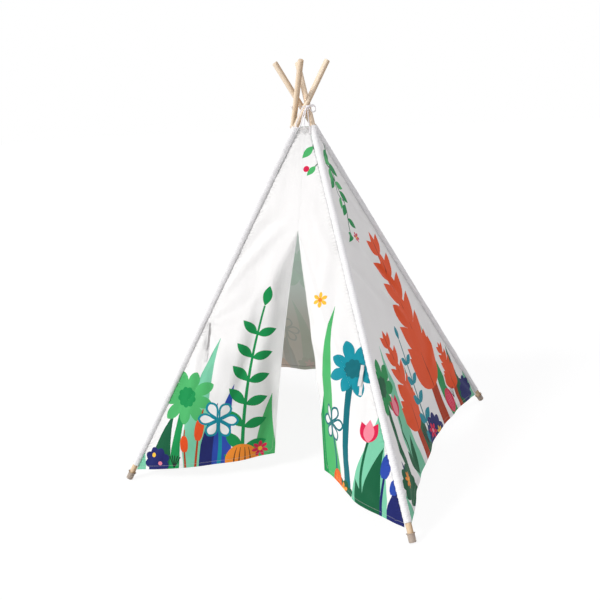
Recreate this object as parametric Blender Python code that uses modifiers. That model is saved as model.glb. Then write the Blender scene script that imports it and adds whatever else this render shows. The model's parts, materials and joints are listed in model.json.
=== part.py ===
"""Play teepee: four wooden poles tied where they cross, with a cotton cover and a slit door.

Metres, +Z up. The origin is the middle of the base on the floor, and the door faces -Y.
Each pole swings about a level axis through its cord hole, so the four fold in together.
Each door flap turns about a crease that runs from the top of the slit to the foot of its pole.
"""

import math

import bmesh
import bpy
from mathutils import Matrix, Vector

# Whole teepee
BASE_SIDE = 1.2
TIE_HEIGHT = 1.43
FIT_GAP = 0.0003
MERGE_DISTANCE = 0.00005
CUT_OVERRUN = 0.004

# Poles: the corner that each stands on, and how far it passes beside the middle line at the tie
CORNERS = {
    "front_left": (-1, -1),
    "front_right": (1, -1),
    "back_right": (1, 1),
    "back_left": (-1, 1),
}
SIDE_OFFSETS = {
    "front_left": 0.026,
    "front_right": 0.020,
    "back_right": 0.020,
    "back_left": 0.032,
}
POLE_ABOVE_TIE = 0.194
POLE_SLOPE = math.hypot(TIE_HEIGHT, BASE_SIDE / math.sqrt(2))
POLE_RADIUS = 0.011
POLE_CHAMFER = 0.0015
POLE_SIDES = 20
SECTIONS = ("lower", "middle", "upper")
CORD_HOLE_RADIUS = 0.0035
CORD_HOLE_SIDES = 12

# Steel tubes that join the pole's lengths
FERRULE_LENGTH = 0.09
FERRULE_WALL = 0.0006

# Clear caps on the feet
CAP_HEIGHT = 0.031
CAP_FLOOR = 0.003
CAP_WALL = 0.002
CAP_ROUNDING = 0.002
CAP_LIP_FLARE = 0.0035
CAP_LIP_HEIGHT = 0.006

# Cover: each level is a distance down the poles from the tie, and each rise is one up from the floor
CLOTH_THICKNESS = 0.001
COVER_TOP = 0.089
SLEEVE_END_RISE = 0.065
SLEEVE_END = POLE_SLOPE - SLEEVE_END_RISE
SLEEVE_RADIUS = 0.0143
SLEEVE_WALL = 0.0018
SLEEVE_SIDES = 16
SLEEVE_GATHER = 0.0006
SLEEVE_GATHER_SPACING = 0.25
HEM_CORNER_RISE = 0.048
HEM_CORNER = POLE_SLOPE - HEM_CORNER_RISE
HEM_ARCH = 0.07
SLACK = 0.03
SLACK_POWER = 1.6
FOLD_DEPTH = 0.006
FOLD_COUNT = 3
PANEL_COLUMNS = 10
PANEL_ROWS = 12

# Door: the slit, and the creases that the two flaps turn about
SLIT_TOP_RISE = 1.135
SLIT_TOP = POLE_SLOPE - SLIT_TOP_RISE
SLIT_TOP_ACROSS_SHARE = 0.5735
SLIT_FOOT_RISE = 0.152
SLIT_FOOT = POLE_SLOPE - SLIT_FOOT_RISE
SLIT_FOOT_ACROSS_SHARES = {"front_left": 0.497, "front_right": 0.641}
FLAP_HANG_ANGLES = {"front_left": math.radians(32.5), "front_right": math.radians(31)}
FLAP_BILLOW = 0.008
SLIT_BOW = 0.012
FLAP_TIP_SHARE = 0.012
CREASE_INSET = 0.03
CREASE_GAP = 0.0005
CREASE_LIFT = 0.0002
DOOR_COLUMNS = 8
UPPER_ROWS = 5
LOWER_ROWS = 8

# Tapes that hold the flaps back, sewn to the front sleeves
TAPE_WIDTH = 0.012
TAPE_THICKNESS = 0.001
TAPE_RISES = {"front_left": 0.726, "front_right": 0.618}
TAPE_DROPS = {"front_left": 0.17, "front_right": 0.115}
TAPE_LEG_STEP = 0.004
TAPE_SHORT_LEG_SHARE = 0.7
TAPE_SEGMENTS = 6

# Cord: routes are places round the tie, in order along the cord
CORD_RADIUS = 0.00225
CORD_SPACING = 0.0095
CORD_BEVEL_SEGMENTS = 2
KNOT_PLACE = (0.0330, -0.0330, 0.0)
KNOT_SIZES = (0.0070, 0.0070, 0.0060)
KNOT_SEGMENTS = 12
KNOT_RINGS = 8
STOPPER_RADIUS = 0.0048
TIP_KNOT_RADIUS = 0.0036
INNER_REACH = 0.015
LINK_BEND_LEFT = ((0.0075, -0.0085, 0), (0, -0.0062, 0), (-0.0075, -0.0085, 0))
LINK_BEND_RIGHT = ((-0.0035, 0.0045, 0), (0, 0.0037, 0), (0.0035, 0.0045, 0))
RIGHT_STRAND = (
    (0.0268, 0.0262, 0),
    (0.0345, 0.0258, 0),
    (0.0390, 0.0185, 0),
    (0.0400, 0.0060, 0),
    (0.0385, -0.0080, 0),
    (0.0355, -0.0190, 0),
    (0.0335, -0.0253, 0),
)
BOW_LEFT = (
    (0.0262, -0.0368, 0.0022),
    (0.0215, -0.0400, 0.0010),
    (0.0150, -0.0435, -0.0060),
    (0.0080, -0.0493, -0.0240),
    (0.0012, -0.0573, -0.0450),
    (-0.0046, -0.0657, -0.0620),
    (-0.0024, -0.0690, -0.0750),
    (0.0066, -0.0660, -0.0780),
    (0.0124, -0.0594, -0.0680),
    (0.0161, -0.0530, -0.0480),
    (0.0211, -0.0474, -0.0280),
    (0.0248, -0.0425, -0.0130),
    (0.0277, -0.0369, -0.0039),
)
BOW_RIGHT = (
    (0.0402, -0.0310, 0.0030),
    (0.0454, -0.0240, 0.0060),
    (0.0518, -0.0140, 0.0030),
    (0.0545, -0.0060, -0.0060),
    (0.0530, -0.0050, -0.0170),
    (0.0485, -0.0130, -0.0220),
    (0.0440, -0.0235, -0.0160),
    (0.0398, -0.0326, -0.0046),
)
TAIL_RIGHT = (
    (0.0341, -0.0345, -0.0064),
    (0.0350, -0.0348, -0.0160),
    (0.0355, -0.0352, -0.0320),
    (0.0377, -0.0375, -0.0560),
    (0.0408, -0.0412, -0.0780),
    (0.0434, -0.0444, -0.0950),
)
TAIL_LEFT = (
    (0.0322, -0.0390, -0.0042),
    (0.0315, -0.0450, -0.0110),
    (0.0300, -0.0487, -0.0230),
    (0.0273, -0.0520, -0.0420),
    (0.0268, -0.0555, -0.0600),
    (0.0272, -0.0585, -0.0740),
)

# Colours, roughness and metallic value of each finish
FINISHES = {
    "pine": ((0.76, 0.58, 0.37), 0.55, 0),
    "zinc": ((0.62, 0.63, 0.64), 0.35, 1),
    "clear_cap": ((0.66, 0.64, 0.62), 0.25, 0),
    "canvas": ((0.90, 0.90, 0.89), 0.85, 0),
    "seam_tape": ((0.87, 0.87, 0.87), 0.85, 0),
    "cotton_cord": ((0.88, 0.87, 0.86), 0.80, 0),
}


class Carrier:
    """An empty on a joint's axis, with its place in the world."""

    def __init__(self, name, matrix, parent=None):
        self.matrix = matrix
        self.empty = bpy.data.objects.new(name, None)
        self.empty.empty_display_size = POLE_RADIUS
        PARTS.objects.link(self.empty)
        if parent:
            self.empty.parent = parent.empty
            self.empty.matrix_basis = parent.matrix.inverted() @ matrix
        else:
            self.empty.matrix_basis = matrix

    def carry(self, piece):
        """Parent a piece whose mesh is in the carrier's own frame."""
        piece.parent = self.empty
        return piece

    def carry_from_world(self, piece):
        """Parent a piece whose mesh is in world places, without moving it."""
        piece.data.transform(self.matrix.inverted())
        return self.carry(piece)


class Pole:
    """One pole's line, and the carrier on its swing axis. The carrier's Z runs down the pole."""

    def __init__(self, name):
        self.name = name
        foot = Vector((*CORNERS[name], 0)) * BASE_SIDE / 2
        turn = math.atan2(foot.y, foot.x) - math.asin(SIDE_OFFSETS[name] / foot.length)
        self.side = Vector((-math.sin(turn), math.cos(turn), 0))
        self.tie = self.side * SIDE_OFFSETS[name] + Vector((0, 0, TIE_HEIGHT))
        self.axis = (foot - self.tie).normalized()
        inward = self.side.cross(self.axis)
        turned = Matrix((inward, self.side, self.axis)).transposed().to_4x4()
        self.carrier = Carrier(f"swing_{name}", Matrix.Translation(self.tie) @ turned)
        self.tilt = self.axis.angle(Vector((0, 0, -1)))

    def at(self, distance):
        """The point on the pole's axis at a distance down from the tie."""
        return self.tie + self.axis * distance

    def beside(self, reach):
        """The point on the line of the cord hole, at a reach out from the pole's axis."""
        return self.side * (SIDE_OFFSETS[self.name] + reach) + Vector((0, 0, TIE_HEIGHT))

    def foot_end(self):
        """How far down the cap's flat end lies, so that its lowest rim point meets the floor."""
        flat_radius = cap_radius() - CAP_ROUNDING
        return (TIE_HEIGHT - flat_radius * math.sin(self.tilt)) / math.cos(self.tilt)


def new_collection(name):
    group = bpy.data.collections.new(name)
    bpy.context.scene.collection.children.link(group)
    return group


def finish(name):
    """The material of one finish, made once."""
    found = bpy.data.materials.get(name)
    if found:
        return found
    colour, roughness, metallic = FINISHES[name]
    made = bpy.data.materials.new(name)
    made.use_nodes = True
    shader = made.node_tree.nodes["Principled BSDF"]
    shader.inputs["Base Color"].default_value = (*colour, 1)
    shader.inputs["Roughness"].default_value = roughness
    shader.inputs["Metallic"].default_value = metallic
    return made


def part(name, data, finish_name):
    """A named part of the teepee from mesh or curve data."""
    data.name = name
    data.materials.append(finish(finish_name))
    piece = bpy.data.objects.new(name, data)
    PARTS.objects.link(piece)
    return piece


def turned(name, profile, finish_name, sides, ring=False):
    """A turned part: the profile is (radius, distance) pairs, from the foot's end of its outer side."""
    form = bmesh.new()
    points = [form.verts.new((radius, 0, distance)) for radius, distance in profile]
    for start, end in zip(points, points[1:]):
        form.edges.new((start, end))
    if ring:
        form.edges.new((points[-1], points[0]))
    mesh = bpy.data.meshes.new(name)
    form.to_mesh(mesh)
    form.free()
    piece = part(name, mesh, finish_name)
    turn = piece.modifiers.new("Turn", "SCREW")
    turn.steps = sides
    turn.render_steps = sides
    turn.use_merge_vertices = True
    turn.merge_threshold = MERGE_DISTANCE
    return piece


def cylinder_cutter(name, radius, length, sides, carrier):
    """A cutter along the carrier's Y, through its origin."""
    form = bmesh.new()
    bmesh.ops.create_cone(
        form, cap_ends=True, segments=sides, radius1=radius, radius2=radius, depth=length
    )
    form.transform(Matrix.Rotation(math.pi / 2, 4, "X"))
    mesh = bpy.data.meshes.new(name)
    form.to_mesh(mesh)
    form.free()
    cutter = bpy.data.objects.new(name, mesh)
    CUTTERS.objects.link(cutter)
    cutter.hide_render = True
    cutter.display_type = "WIRE"
    return carrier.carry(cutter)


def cut(piece, cutter):
    difference = piece.modifiers.new("Cut", "BOOLEAN")
    difference.operation = "DIFFERENCE"
    difference.object = cutter


def cap_radius():
    return POLE_RADIUS + FIT_GAP + CAP_WALL


def add_pole_sections(pole):
    """Three equal lengths of pole, the top one chamfered and drilled for the cord."""
    foot = pole.foot_end() - CAP_FLOOR - FIT_GAP
    length = (foot + POLE_ABOVE_TIE) / len(SECTIONS)
    for index, section in enumerate(SECTIONS):
        end = foot - index * length
        start = foot - (index + 1) * length
        if section != SECTIONS[-1]:
            start += FIT_GAP
        profile = [
            (0, end),
            (POLE_RADIUS - POLE_CHAMFER, end),
            (POLE_RADIUS, end - POLE_CHAMFER),
            (POLE_RADIUS, start + POLE_CHAMFER),
            (POLE_RADIUS - POLE_CHAMFER, start),
            (0, start),
        ]
        piece = turned(f"pole_{section}_{pole.name}", profile, "pine", POLE_SIDES)
        pole.carrier.carry(piece)
        if section != SECTIONS[0]:
            add_ferrule(pole, SECTIONS[index - 1], end + FIT_GAP / 2)
    hole_length = 2 * (POLE_RADIUS + CUT_OVERRUN)
    name = f"cord_hole_{pole.name}"
    cut(piece, cylinder_cutter(name, CORD_HOLE_RADIUS, hole_length, CORD_HOLE_SIDES, pole.carrier))


def add_ferrule(pole, section, joint):
    """A thin steel tube over the joint at the upper end of one length."""
    inner = POLE_RADIUS + FIT_GAP
    outer = inner + FERRULE_WALL
    low, high = joint + FERRULE_LENGTH / 2, joint - FERRULE_LENGTH / 2
    profile = [(outer, low), (outer, high), (inner, high), (inner, low)]
    name = f"ferrule_{section}_{pole.name}"
    pole.carrier.carry(turned(name, profile, "zinc", POLE_SIDES, ring=True))


def add_foot_cap(pole):
    """A clear cup with a rounded end and a flared lip."""
    end = pole.foot_end()
    mouth = end - CAP_HEIGHT
    outer = cap_radius()
    inner = POLE_RADIUS + FIT_GAP
    neck = mouth + CAP_LIP_HEIGHT
    profile = [
        (0, end),
        (outer - CAP_ROUNDING, end),
        (outer, end - CAP_ROUNDING),
        (outer, neck),
        (outer + CAP_LIP_FLARE / 3, (neck + mouth) / 2),
        (outer + CAP_LIP_FLARE, mouth),
        (inner + CAP_LIP_FLARE, mouth),
        (inner, neck),
        (inner, end - CAP_FLOOR),
        (0, end - CAP_FLOOR),
    ]
    pole.carrier.carry(turned(f"foot_cap_{pole.name}", profile, "clear_cap", POLE_SIDES))


def add_sleeve(pole):
    """The pocket down the corner of the cover, drawn in a little at each gather."""
    inner = SLEEVE_RADIUS - SLEEVE_WALL
    gathers = round((SLEEVE_END - COVER_TOP) / SLEEVE_GATHER_SPACING)
    step = (SLEEVE_END - COVER_TOP) / (2 * gathers)
    profile = []
    for index in range(2 * gathers + 1):
        drawn_in = SLEEVE_GATHER * (index % 2)
        profile.append((SLEEVE_RADIUS - drawn_in, SLEEVE_END - index * step))
    profile += [(inner, COVER_TOP), (inner, SLEEVE_END)]
    name = f"sleeve_{pole.name}"
    pole.carrier.carry(turned(name, profile, "canvas", SLEEVE_SIDES, ring=True))


def cloth(name, columns, rows, point_at, carrier):
    """A cloth part from point_at(across, down), each of which runs from 0 to 1."""
    form = bmesh.new()
    bmesh.ops.create_grid(form, x_segments=columns, y_segments=rows, size=1)
    for vertex in form.verts:
        vertex.co = point_at((vertex.co.x + 1) / 2, (1 - vertex.co.y) / 2)
    mesh = bpy.data.meshes.new(name)
    form.to_mesh(mesh)
    form.free()
    piece = carrier.carry_from_world(part(name, mesh, "canvas"))
    thicken = piece.modifiers.new("Thickness", "SOLIDIFY")
    thicken.thickness = CLOTH_THICKNESS
    thicken.offset = 0
    return piece


def outward_normal(own, other):
    """The way out of the tent, square to the cover between two poles."""
    middle = (own.at(HEM_CORNER) + other.at(HEM_CORNER)) / 2
    across = other.at(HEM_CORNER) - own.at(HEM_CORNER)
    normal = across.cross(middle - Vector((0, 0, TIE_HEIGHT))).normalized()
    if normal.dot(middle) < 0:
        normal.negate()
    return normal


def sleeve_share(own, other, distance):
    """How far across from one pole to the next the cover starts, beside its sleeve."""
    chord = other.at(distance) - own.at(distance)
    inset = (SLEEVE_RADIUS + FIT_GAP) / math.sin(chord.angle(own.axis))
    return inset / chord.length


def hem_distance(across):
    """How far down the hem lies: lowest at the poles, highest half way between them."""
    return HEM_CORNER - HEM_ARCH * (1 - (2 * across - 1) ** 2)


def slack_depth(across, distance):
    """How far the cover hangs in from the straight line between two poles, with its soft folds."""
    middle = 1 - (2 * across - 1) ** 2
    lower = (distance / HEM_CORNER) ** SLACK_POWER
    fold = FOLD_DEPTH * math.cos(2 * math.pi * FOLD_COUNT * (across - 0.5)) * lower
    return (SLACK + fold) * lower * middle


def add_half_panel(name, own, other):
    """One half of a side of the cover, from a pole's sleeve to the middle of the side."""
    normal = outward_normal(own, other)

    def point_at(share, down):
        distance = COVER_TOP + down * (hem_distance(share / 2) - COVER_TOP)
        start, end = own.at(distance), other.at(distance)
        edge = sleeve_share(own, other, distance)
        middle = 0.5 - FIT_GAP / 2 / (end - start).length
        across = edge + (middle - edge) * share
        return start.lerp(end, across) - normal * slack_depth(across, distance)

    cloth(name, PANEL_COLUMNS, PANEL_ROWS, point_at, own.carrier)


class DoorSide:
    """The lines of one side of the door: slit, crease, and the hinge line on the cloth's outer face."""

    def __init__(self, own, other):
        self.own, self.other = own, other
        self.is_left = CORNERS[own.name][0] < 0
        self.normal = outward_normal(own, other)
        top_share = SLIT_TOP_ACROSS_SHARE if self.is_left else 1 - SLIT_TOP_ACROSS_SHARE
        foot_share = SLIT_FOOT_ACROSS_SHARES[own.name]
        foot_share = foot_share if self.is_left else 1 - foot_share
        self.split_share = top_share
        self.slit_top = self.point(top_share, SLIT_TOP)
        self.slit_foot = self.point(foot_share, SLIT_FOOT)
        chord = (other.at(HEM_CORNER) - own.at(HEM_CORNER)).length
        self.crease_share = sleeve_share(own, other, HEM_CORNER) + CREASE_INSET / chord
        self.crease_foot = self.point(self.crease_share, hem_distance(self.crease_share))
        crease = (self.crease_foot - self.slit_top).normalized()
        self.to_slit = (self.slit_foot - self.crease_foot).normalized()
        self.to_slit = (self.to_slit - crease * self.to_slit.dot(crease)).normalized()
        self.lift = self.normal * (CLOTH_THICKNESS / 2 + CREASE_LIFT)
        self.axis = -crease if self.is_left else crease
        self.origin = self.crease_foot + self.lift
        turn = self.axis.to_track_quat("Z", "Y").to_matrix().to_4x4()
        matrix = Matrix.Translation(self.origin) @ turn
        self.carrier = Carrier(f"hinge_door_{own.name}", matrix, own.carrier)

    def point(self, across, distance):
        return self.own.at(distance).lerp(self.other.at(distance), across)

    def strip_point(self, share, down):
        """A point of the fixed cloth between the sleeve and the crease, below the top of the slit."""
        bottom = hem_distance(self.crease_share * share)
        distance = SLIT_TOP + down * (bottom - SLIT_TOP)
        edge_share = sleeve_share(self.own, self.other, distance)
        edge = self.point(edge_share, distance)
        crease = self.slit_top.lerp(self.crease_foot, down) - self.to_slit * CREASE_GAP
        return edge.lerp(crease, share)

    def hang(self, point, share):
        """Swing a point of the flap in from the cover, softly at the crease and fully at the slit."""
        bend = 1 - (1 - share) ** 2
        swing = Matrix.Rotation(FLAP_HANG_ANGLES[self.own.name] * bend, 4, self.axis)
        return swing @ (point - self.origin) + self.origin


def add_front_panel(name, door):
    """The fixed cloth beside the door: half the front above the slit, and down to the crease."""

    def point_at(share, down):
        rows = down * (UPPER_ROWS + LOWER_ROWS)
        if rows > UPPER_ROWS:
            return door.strip_point(share, (rows - UPPER_ROWS) / LOWER_ROWS)
        distance = COVER_TOP + rows / UPPER_ROWS * (SLIT_TOP - COVER_TOP)
        edge = sleeve_share(door.own, door.other, distance)
        chord = door.other.at(distance) - door.own.at(distance)
        split = door.split_share - FIT_GAP / 2 / chord.length
        return door.point(edge + (split - edge) * share, distance)

    cloth(name, DOOR_COLUMNS, UPPER_ROWS + LOWER_ROWS, point_at, door.own.carrier)


def add_door_flap(name, door):
    """The free cloth between the crease and the slit, hanging in a little."""

    def point_at(share, down):
        along = FLAP_TIP_SHARE + (1 - FLAP_TIP_SHARE) * down
        crease = door.slit_top.lerp(door.crease_foot, along) + door.to_slit * CREASE_GAP
        slit = door.slit_top.lerp(door.slit_foot, along)
        slit -= door.to_slit * SLIT_BOW * math.sin(math.pi * down)
        billow = FLAP_BILLOW * math.sin(math.pi * share) * down
        return door.hang(crease.lerp(slit, share) + door.normal * billow, share)

    cloth(name, DOOR_COLUMNS, LOWER_ROWS, point_at, door.carrier)


def add_tie_tape(door):
    """A tape sewn on at its middle beside the front sleeve, with both legs hanging on the cover."""
    own, other = door.own, door.other
    level, drop = POLE_SLOPE - TAPE_RISES[own.name], TAPE_DROPS[own.name]
    seam_chord = (other.at(level) - own.at(level)).length
    lift = (CLOTH_THICKNESS + TAPE_THICKNESS) / 2 + FIT_GAP

    def place(depth, sideways, height):
        down = (level + depth - SLIT_TOP) / (HEM_CORNER - SLIT_TOP)
        edge = door.strip_point(0, down)
        across = door.strip_point(1, down) - edge
        widening = ((other.at(level + depth) - own.at(level + depth)).length - seam_chord) / 2
        normal = across.cross(own.axis).normalized()
        if normal.dot(door.normal) < 0:
            normal.negate()
        reach = TAPE_WIDTH + widening + sideways
        return edge + across.normalized() * reach + normal * height

    steps = [step / TAPE_SEGMENTS for step in range(TAPE_SEGMENTS + 1)]
    path = [(drop * step, lift) for step in reversed(steps)]
    path += [(drop * TAPE_SHORT_LEG_SHARE * step, lift + TAPE_LEG_STEP) for step in steps]
    form = bmesh.new()
    rails = []
    for sideways in (-TAPE_WIDTH / 2, TAPE_WIDTH / 2):
        rails.append([form.verts.new(place(depth, sideways, height)) for depth, height in path])
    for index in range(len(path) - 1):
        corners = (rails[0][index], rails[0][index + 1], rails[1][index + 1], rails[1][index])
        form.faces.new(corners)
    name = f"tie_tape_{own.name}"
    mesh = bpy.data.meshes.new(name)
    form.to_mesh(mesh)
    form.free()
    piece = own.carrier.carry_from_world(part(name, mesh, "seam_tape"))
    thicken = piece.modifiers.new("Thickness", "SOLIDIFY")
    thicken.thickness = TAPE_THICKNESS
    thicken.offset = 0


def smooth_route(route):
    """Points on a smooth curve through a route, close enough together for a tube of cord."""
    first, last = route[0] * 2 - route[1], route[-1] * 2 - route[-2]
    ends = [first, *route, last]
    points = [route[0]]
    for before, start, end, after in zip(ends, ends[1:], ends[2:], ends[3:]):
        pieces = max(1, round((end - start).length / CORD_SPACING))
        for piece in range(1, pieces + 1):
            t = piece / pieces
            bend = (before * -1 + end) * t
            bend += (before * 2 - start * 5 + end * 4 - after) * t**2
            bend += (before * -1 + start * 3 - end * 3 + after) * t**3
            points.append(start + bend / 2)
    return points


def add_cord(name, route, tie):
    """A round cord along a route of places round the tie."""
    points = smooth_route([Vector(place) for place in route])
    data = bpy.data.curves.new(name, "CURVE")
    data.dimensions = "3D"
    data.bevel_depth = CORD_RADIUS
    data.bevel_resolution = CORD_BEVEL_SEGMENTS
    data.use_fill_caps = True
    spline = data.splines.new("POLY")
    spline.points.add(len(points) - 1)
    for target, point in zip(spline.points, points):
        target.co = (*point, 1)
    return tie.carry(part(name, data, "cotton_cord"))


def add_knot(name, place, sizes, tie):
    """A drawn-up knot, as a rounded lump."""
    form = bmesh.new()
    bmesh.ops.create_uvsphere(
        form, u_segments=KNOT_SEGMENTS, v_segments=KNOT_RINGS, radius=1
    )
    form.transform(Matrix.Translation(place) @ Matrix.Diagonal((*sizes, 1)))
    mesh = bpy.data.meshes.new(name)
    form.to_mesh(mesh)
    form.free()
    mesh.shade_smooth()
    return tie.carry(part(name, mesh, "cotton_cord"))


def add_tie(poles):
    """The cord: one half runs through the left poles, one through the right, and they meet in a bow."""
    tie = Carrier("tie", Matrix.Translation((0, 0, TIE_HEIGHT)))
    centre = Vector((0, 0, TIE_HEIGHT))

    def through(name, *reaches):
        return [poles[name].beside(reach) - centre for reach in reaches]

    out = POLE_RADIUS + FIT_GAP
    knot = Vector(KNOT_PLACE)
    knot_face = (knot.length - KNOT_SIZES[0] - FIT_GAP) - SIDE_OFFSETS["front_left"]
    left = through("back_left", out, 0, -out)
    left += [Vector(place) for place in LINK_BEND_LEFT[::-1]]
    left += through("front_left", -out, 0, out, knot_face)
    right = through("back_right", out, 0, 1.5 * CORD_RADIUS - out)
    right += [Vector(place) for place in LINK_BEND_RIGHT]
    right += through("front_right", 1.5 * CORD_RADIUS - out, 0, out)
    right += [Vector(place) for place in RIGHT_STRAND]
    add_cord("tie_cord_left", left, tie)
    add_cord("tie_cord_right", right, tie)
    for name in ("back_left", "back_right"):
        reach = out + STOPPER_RADIUS + FIT_GAP
        add_knot(f"stopper_knot_{name}", through(name, reach)[0], (STOPPER_RADIUS,) * 3, tie)
    add_knot("bow_knot", knot, KNOT_SIZES, tie)
    add_cord("bow_loop_left", BOW_LEFT, tie)
    add_cord("bow_loop_right", BOW_RIGHT, tie)
    for side, route in (("left", TAIL_LEFT), ("right", TAIL_RIGHT)):
        add_cord(f"bow_tail_{side}", route, tie)
        heading = (Vector(route[-1]) - Vector(route[-2])).normalized()
        place = Vector(route[-1]) + heading * (TIP_KNOT_RADIUS + FIT_GAP)
        add_knot(f"tip_knot_{side}", place, (TIP_KNOT_RADIUS,) * 3, tie)


def build():
    poles = {name: Pole(name) for name in CORNERS}
    for pole in poles.values():
        add_pole_sections(pole)
        add_foot_cap(pole)
        add_sleeve(pole)
    left, right = poles["front_left"], poles["front_right"]
    back_right, back_left = poles["back_right"], poles["back_left"]
    add_half_panel("panel_right_front_half", right, back_right)
    add_half_panel("panel_right_back_half", back_right, right)
    add_half_panel("panel_back_right_half", back_right, back_left)
    add_half_panel("panel_back_left_half", back_left, back_right)
    add_half_panel("panel_left_back_half", back_left, left)
    add_half_panel("panel_left_front_half", left, back_left)
    for side, own, other in (("left", left, right), ("right", right, left)):
        door = DoorSide(own, other)
        add_front_panel(f"panel_front_{side}", door)
        add_door_flap(f"door_flap_{side}", door)
        add_tie_tape(door)
    add_tie(poles)


for old in list(bpy.data.objects):
    bpy.data.objects.remove(old, do_unlink=True)
PARTS = new_collection("play_teepee")
CUTTERS = new_collection("cutters")
build()
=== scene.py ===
"""Looks of the play teepee: a printed cotton cover, pine poles, clear foot caps and a cord bow.

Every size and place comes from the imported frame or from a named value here, in metres.
The cover's cloth is drawn flat, in u along a side and v up its slope, with the print cut into
its mesh, and then laid between the poles.
"""

import json
import math

import bmesh
import bpy
from mathutils import Matrix, Vector, noise
from mathutils.geometry import delaunay_2d_cdt, intersect_point_line


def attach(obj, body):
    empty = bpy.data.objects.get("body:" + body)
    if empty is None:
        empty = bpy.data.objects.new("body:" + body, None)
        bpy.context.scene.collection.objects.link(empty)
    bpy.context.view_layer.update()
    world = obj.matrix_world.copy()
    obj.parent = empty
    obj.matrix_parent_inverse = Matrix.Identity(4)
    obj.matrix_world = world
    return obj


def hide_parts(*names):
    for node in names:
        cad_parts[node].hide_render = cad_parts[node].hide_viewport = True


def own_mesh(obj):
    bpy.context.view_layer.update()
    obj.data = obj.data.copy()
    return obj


# Camera, fitted to the feet and the tops of the poles
CAMERA_PLACE = (1.1566, -2.5041, 1.4530)
CAMERA_AHEAD = (-0.42006, 0.86276, -0.28140)
CAMERA_UP = (-0.07073, 0.27802, 0.95797)
CAMERA_LENS = 40.728
CAMERA_SENSOR = 36

# Light
SUN_FROM = (-0.52, -0.74, 0.60)
SUN_STRENGTH = 2.19
SUN_ANGLE = math.radians(16)
BACK_LIGHT_FROM = (0.30, 0.75, 0.60)
BACK_LIGHT_STRENGTH = 0.50
SKY_STRENGTH = 0.485
SKY_COLOUR = (0.98, 0.965, 1.0)
FLOOR_SIZE = 60
FLOOR_COLOUR = (0.82, 0.82, 0.82, 1)
FLOOR_WHITENESS = 0.8
FLOOR_GLOW = 1.1

# Cloth
THICKNESS = 0.001
COVER_TOP = 0.089
SLEEVE_RADIUS = 0.0143
SLEEVE_GAP = 0.0003
SLEEVE_END_RISE = 0.073
HEM_CORNER_RISE = 0.048
HEM_ARCH = 0.07
HEM_WIDTH = 0.013
HEM_STEPS = 90
GRID = 0.016
EDGE_STEP = 0.012
MERGE = 1e-6
NORMAL_STEP = 0.002

# Slack and folds of the cover: how deep they are, where they come in, and how often
SLACK = 0.03
SLACK_POWER = 1.6
FOLD_DEPTH = 0.006
FOLD_COUNT = 3
EDGE_HOLD = 0.03
NARROW_HALF = 0.15
BROAD_FOLD = 0.008
BROAD_RATES = (4.2, 3.1)
SMALL_FOLD = 0.0022
SMALL_RATES = (13, 8)
PUCKER = 0.0012
PUCKER_START = 0.006
PUCKER_REACH = 0.05
PUCKER_RATE = 95
PUCKER_SLANT = 40
PUCKER_DRIFT = 3
PUCKER_DRIFT_RATE = 9
HEM_WAVE = 0.0035
HEM_WAVE_START = 0.05
HEM_WAVE_REACH = 0.16
HEM_WAVE_RATE = 34
HEM_WAVE_DRIFT = 2.5
HEM_WAVE_DRIFT_RATE = 6
PULL_FOLD = 0.0032
PULL_REACH = 0.13
PULL_COUNT = 11
PULL_DRIFT = 2
PULL_DRIFT_RATE = 5

# Canvas. A band says where something comes in and where it is full
COTTON_SPECULAR = 0.25
WEAVE_PITCH = 0.0016
WEAVE_SHARE = 0.35
HEM_STITCH = 0.0045
STITCH_BAND = (0.0016, 0.0006)
STITCH_BEAT_BAND = (-0.5, 0.1)
STITCH_SHARE = 0.28
HEM_TURN = 0.022
HEM_STEP = 0.001
GATHER_PITCH = 0.014
GATHER_BAND = (0.024, 0.003)
GATHER_SWAY = 55
GHOST_SHARE = 0.2
# The inner face's tint is painted shade, as inside the teepee
INNER_FACE_PAINTED_SHADE = (0.80, 0.82, 0.78)
INNER_SHADE_LOSS = 0.6
# Painted light: the inner face glows, dim and warm low down, brighter and cooler high up
GLOW_BAND = (0.32, 0.75)
GLOW_LOW = (0.104, 0.078, 0.070)
GLOW_HIGH = (0.205, 0.250, 0.265)

# Sleeves, tapes, cord and poles
COTTON_SHADOW = (0.52, 0.52, 0.54)
RIDGE_SLANT = 30
RIDGE_BAND = (-0.2, -0.95)
RIDGE_SHARE = 0.16
SOFT_BAND = (0.4, 0.8)
SOFT_SHARE = 0.08
CORD_COLOUR = "#fbf7f8"
CORD_SHADOW = (0.55, 0.53, 0.55)
STRANDS = 3
STRAND_PITCH = 0.0052
STRAND_BAND = (-0.3, -1.0)
STRAND_SHARE = 0.18
POLE_RADIUS = 0.011
PINE_LIGHT = "#f4e1c8"
PINE_WARM = "#dfbb90"
RING_RATES = (330, 120)
RING_DRIFT = 12
RING_SHARPNESS = 2.2
RING_BAND = (0.25, 0.75)
RING_SHARE = 0.5
PINE_ROUGHNESS = 0.42
PINE_ROUGHNESS_RANGE = 0.12
CLOUDY_ROUGHNESS_RANGE = 0.15

# Relief: how deep it is, how strong it is, and each form's share
CANVAS_SHARES = dict(weave=0.12, creases=4.6, hanging=2.6, gathers=1.3, turned_up=0.8, stitches=-0.3)
CANVAS_RELIEF = (0.0011, 0.75, CANVAS_SHARES)
PLAIN_CLOTH_RELIEF = (0.0008, 0.8, dict(ridges=0.5, soft=1.5, weave=0.2))
CORD_RELIEF = (0.0004, 0.6, dict(strands=0.8, fluff=0.5))
PINE_RELIEF = (0.0002, 0.3, dict(fibres=1, streaks=1))

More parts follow.
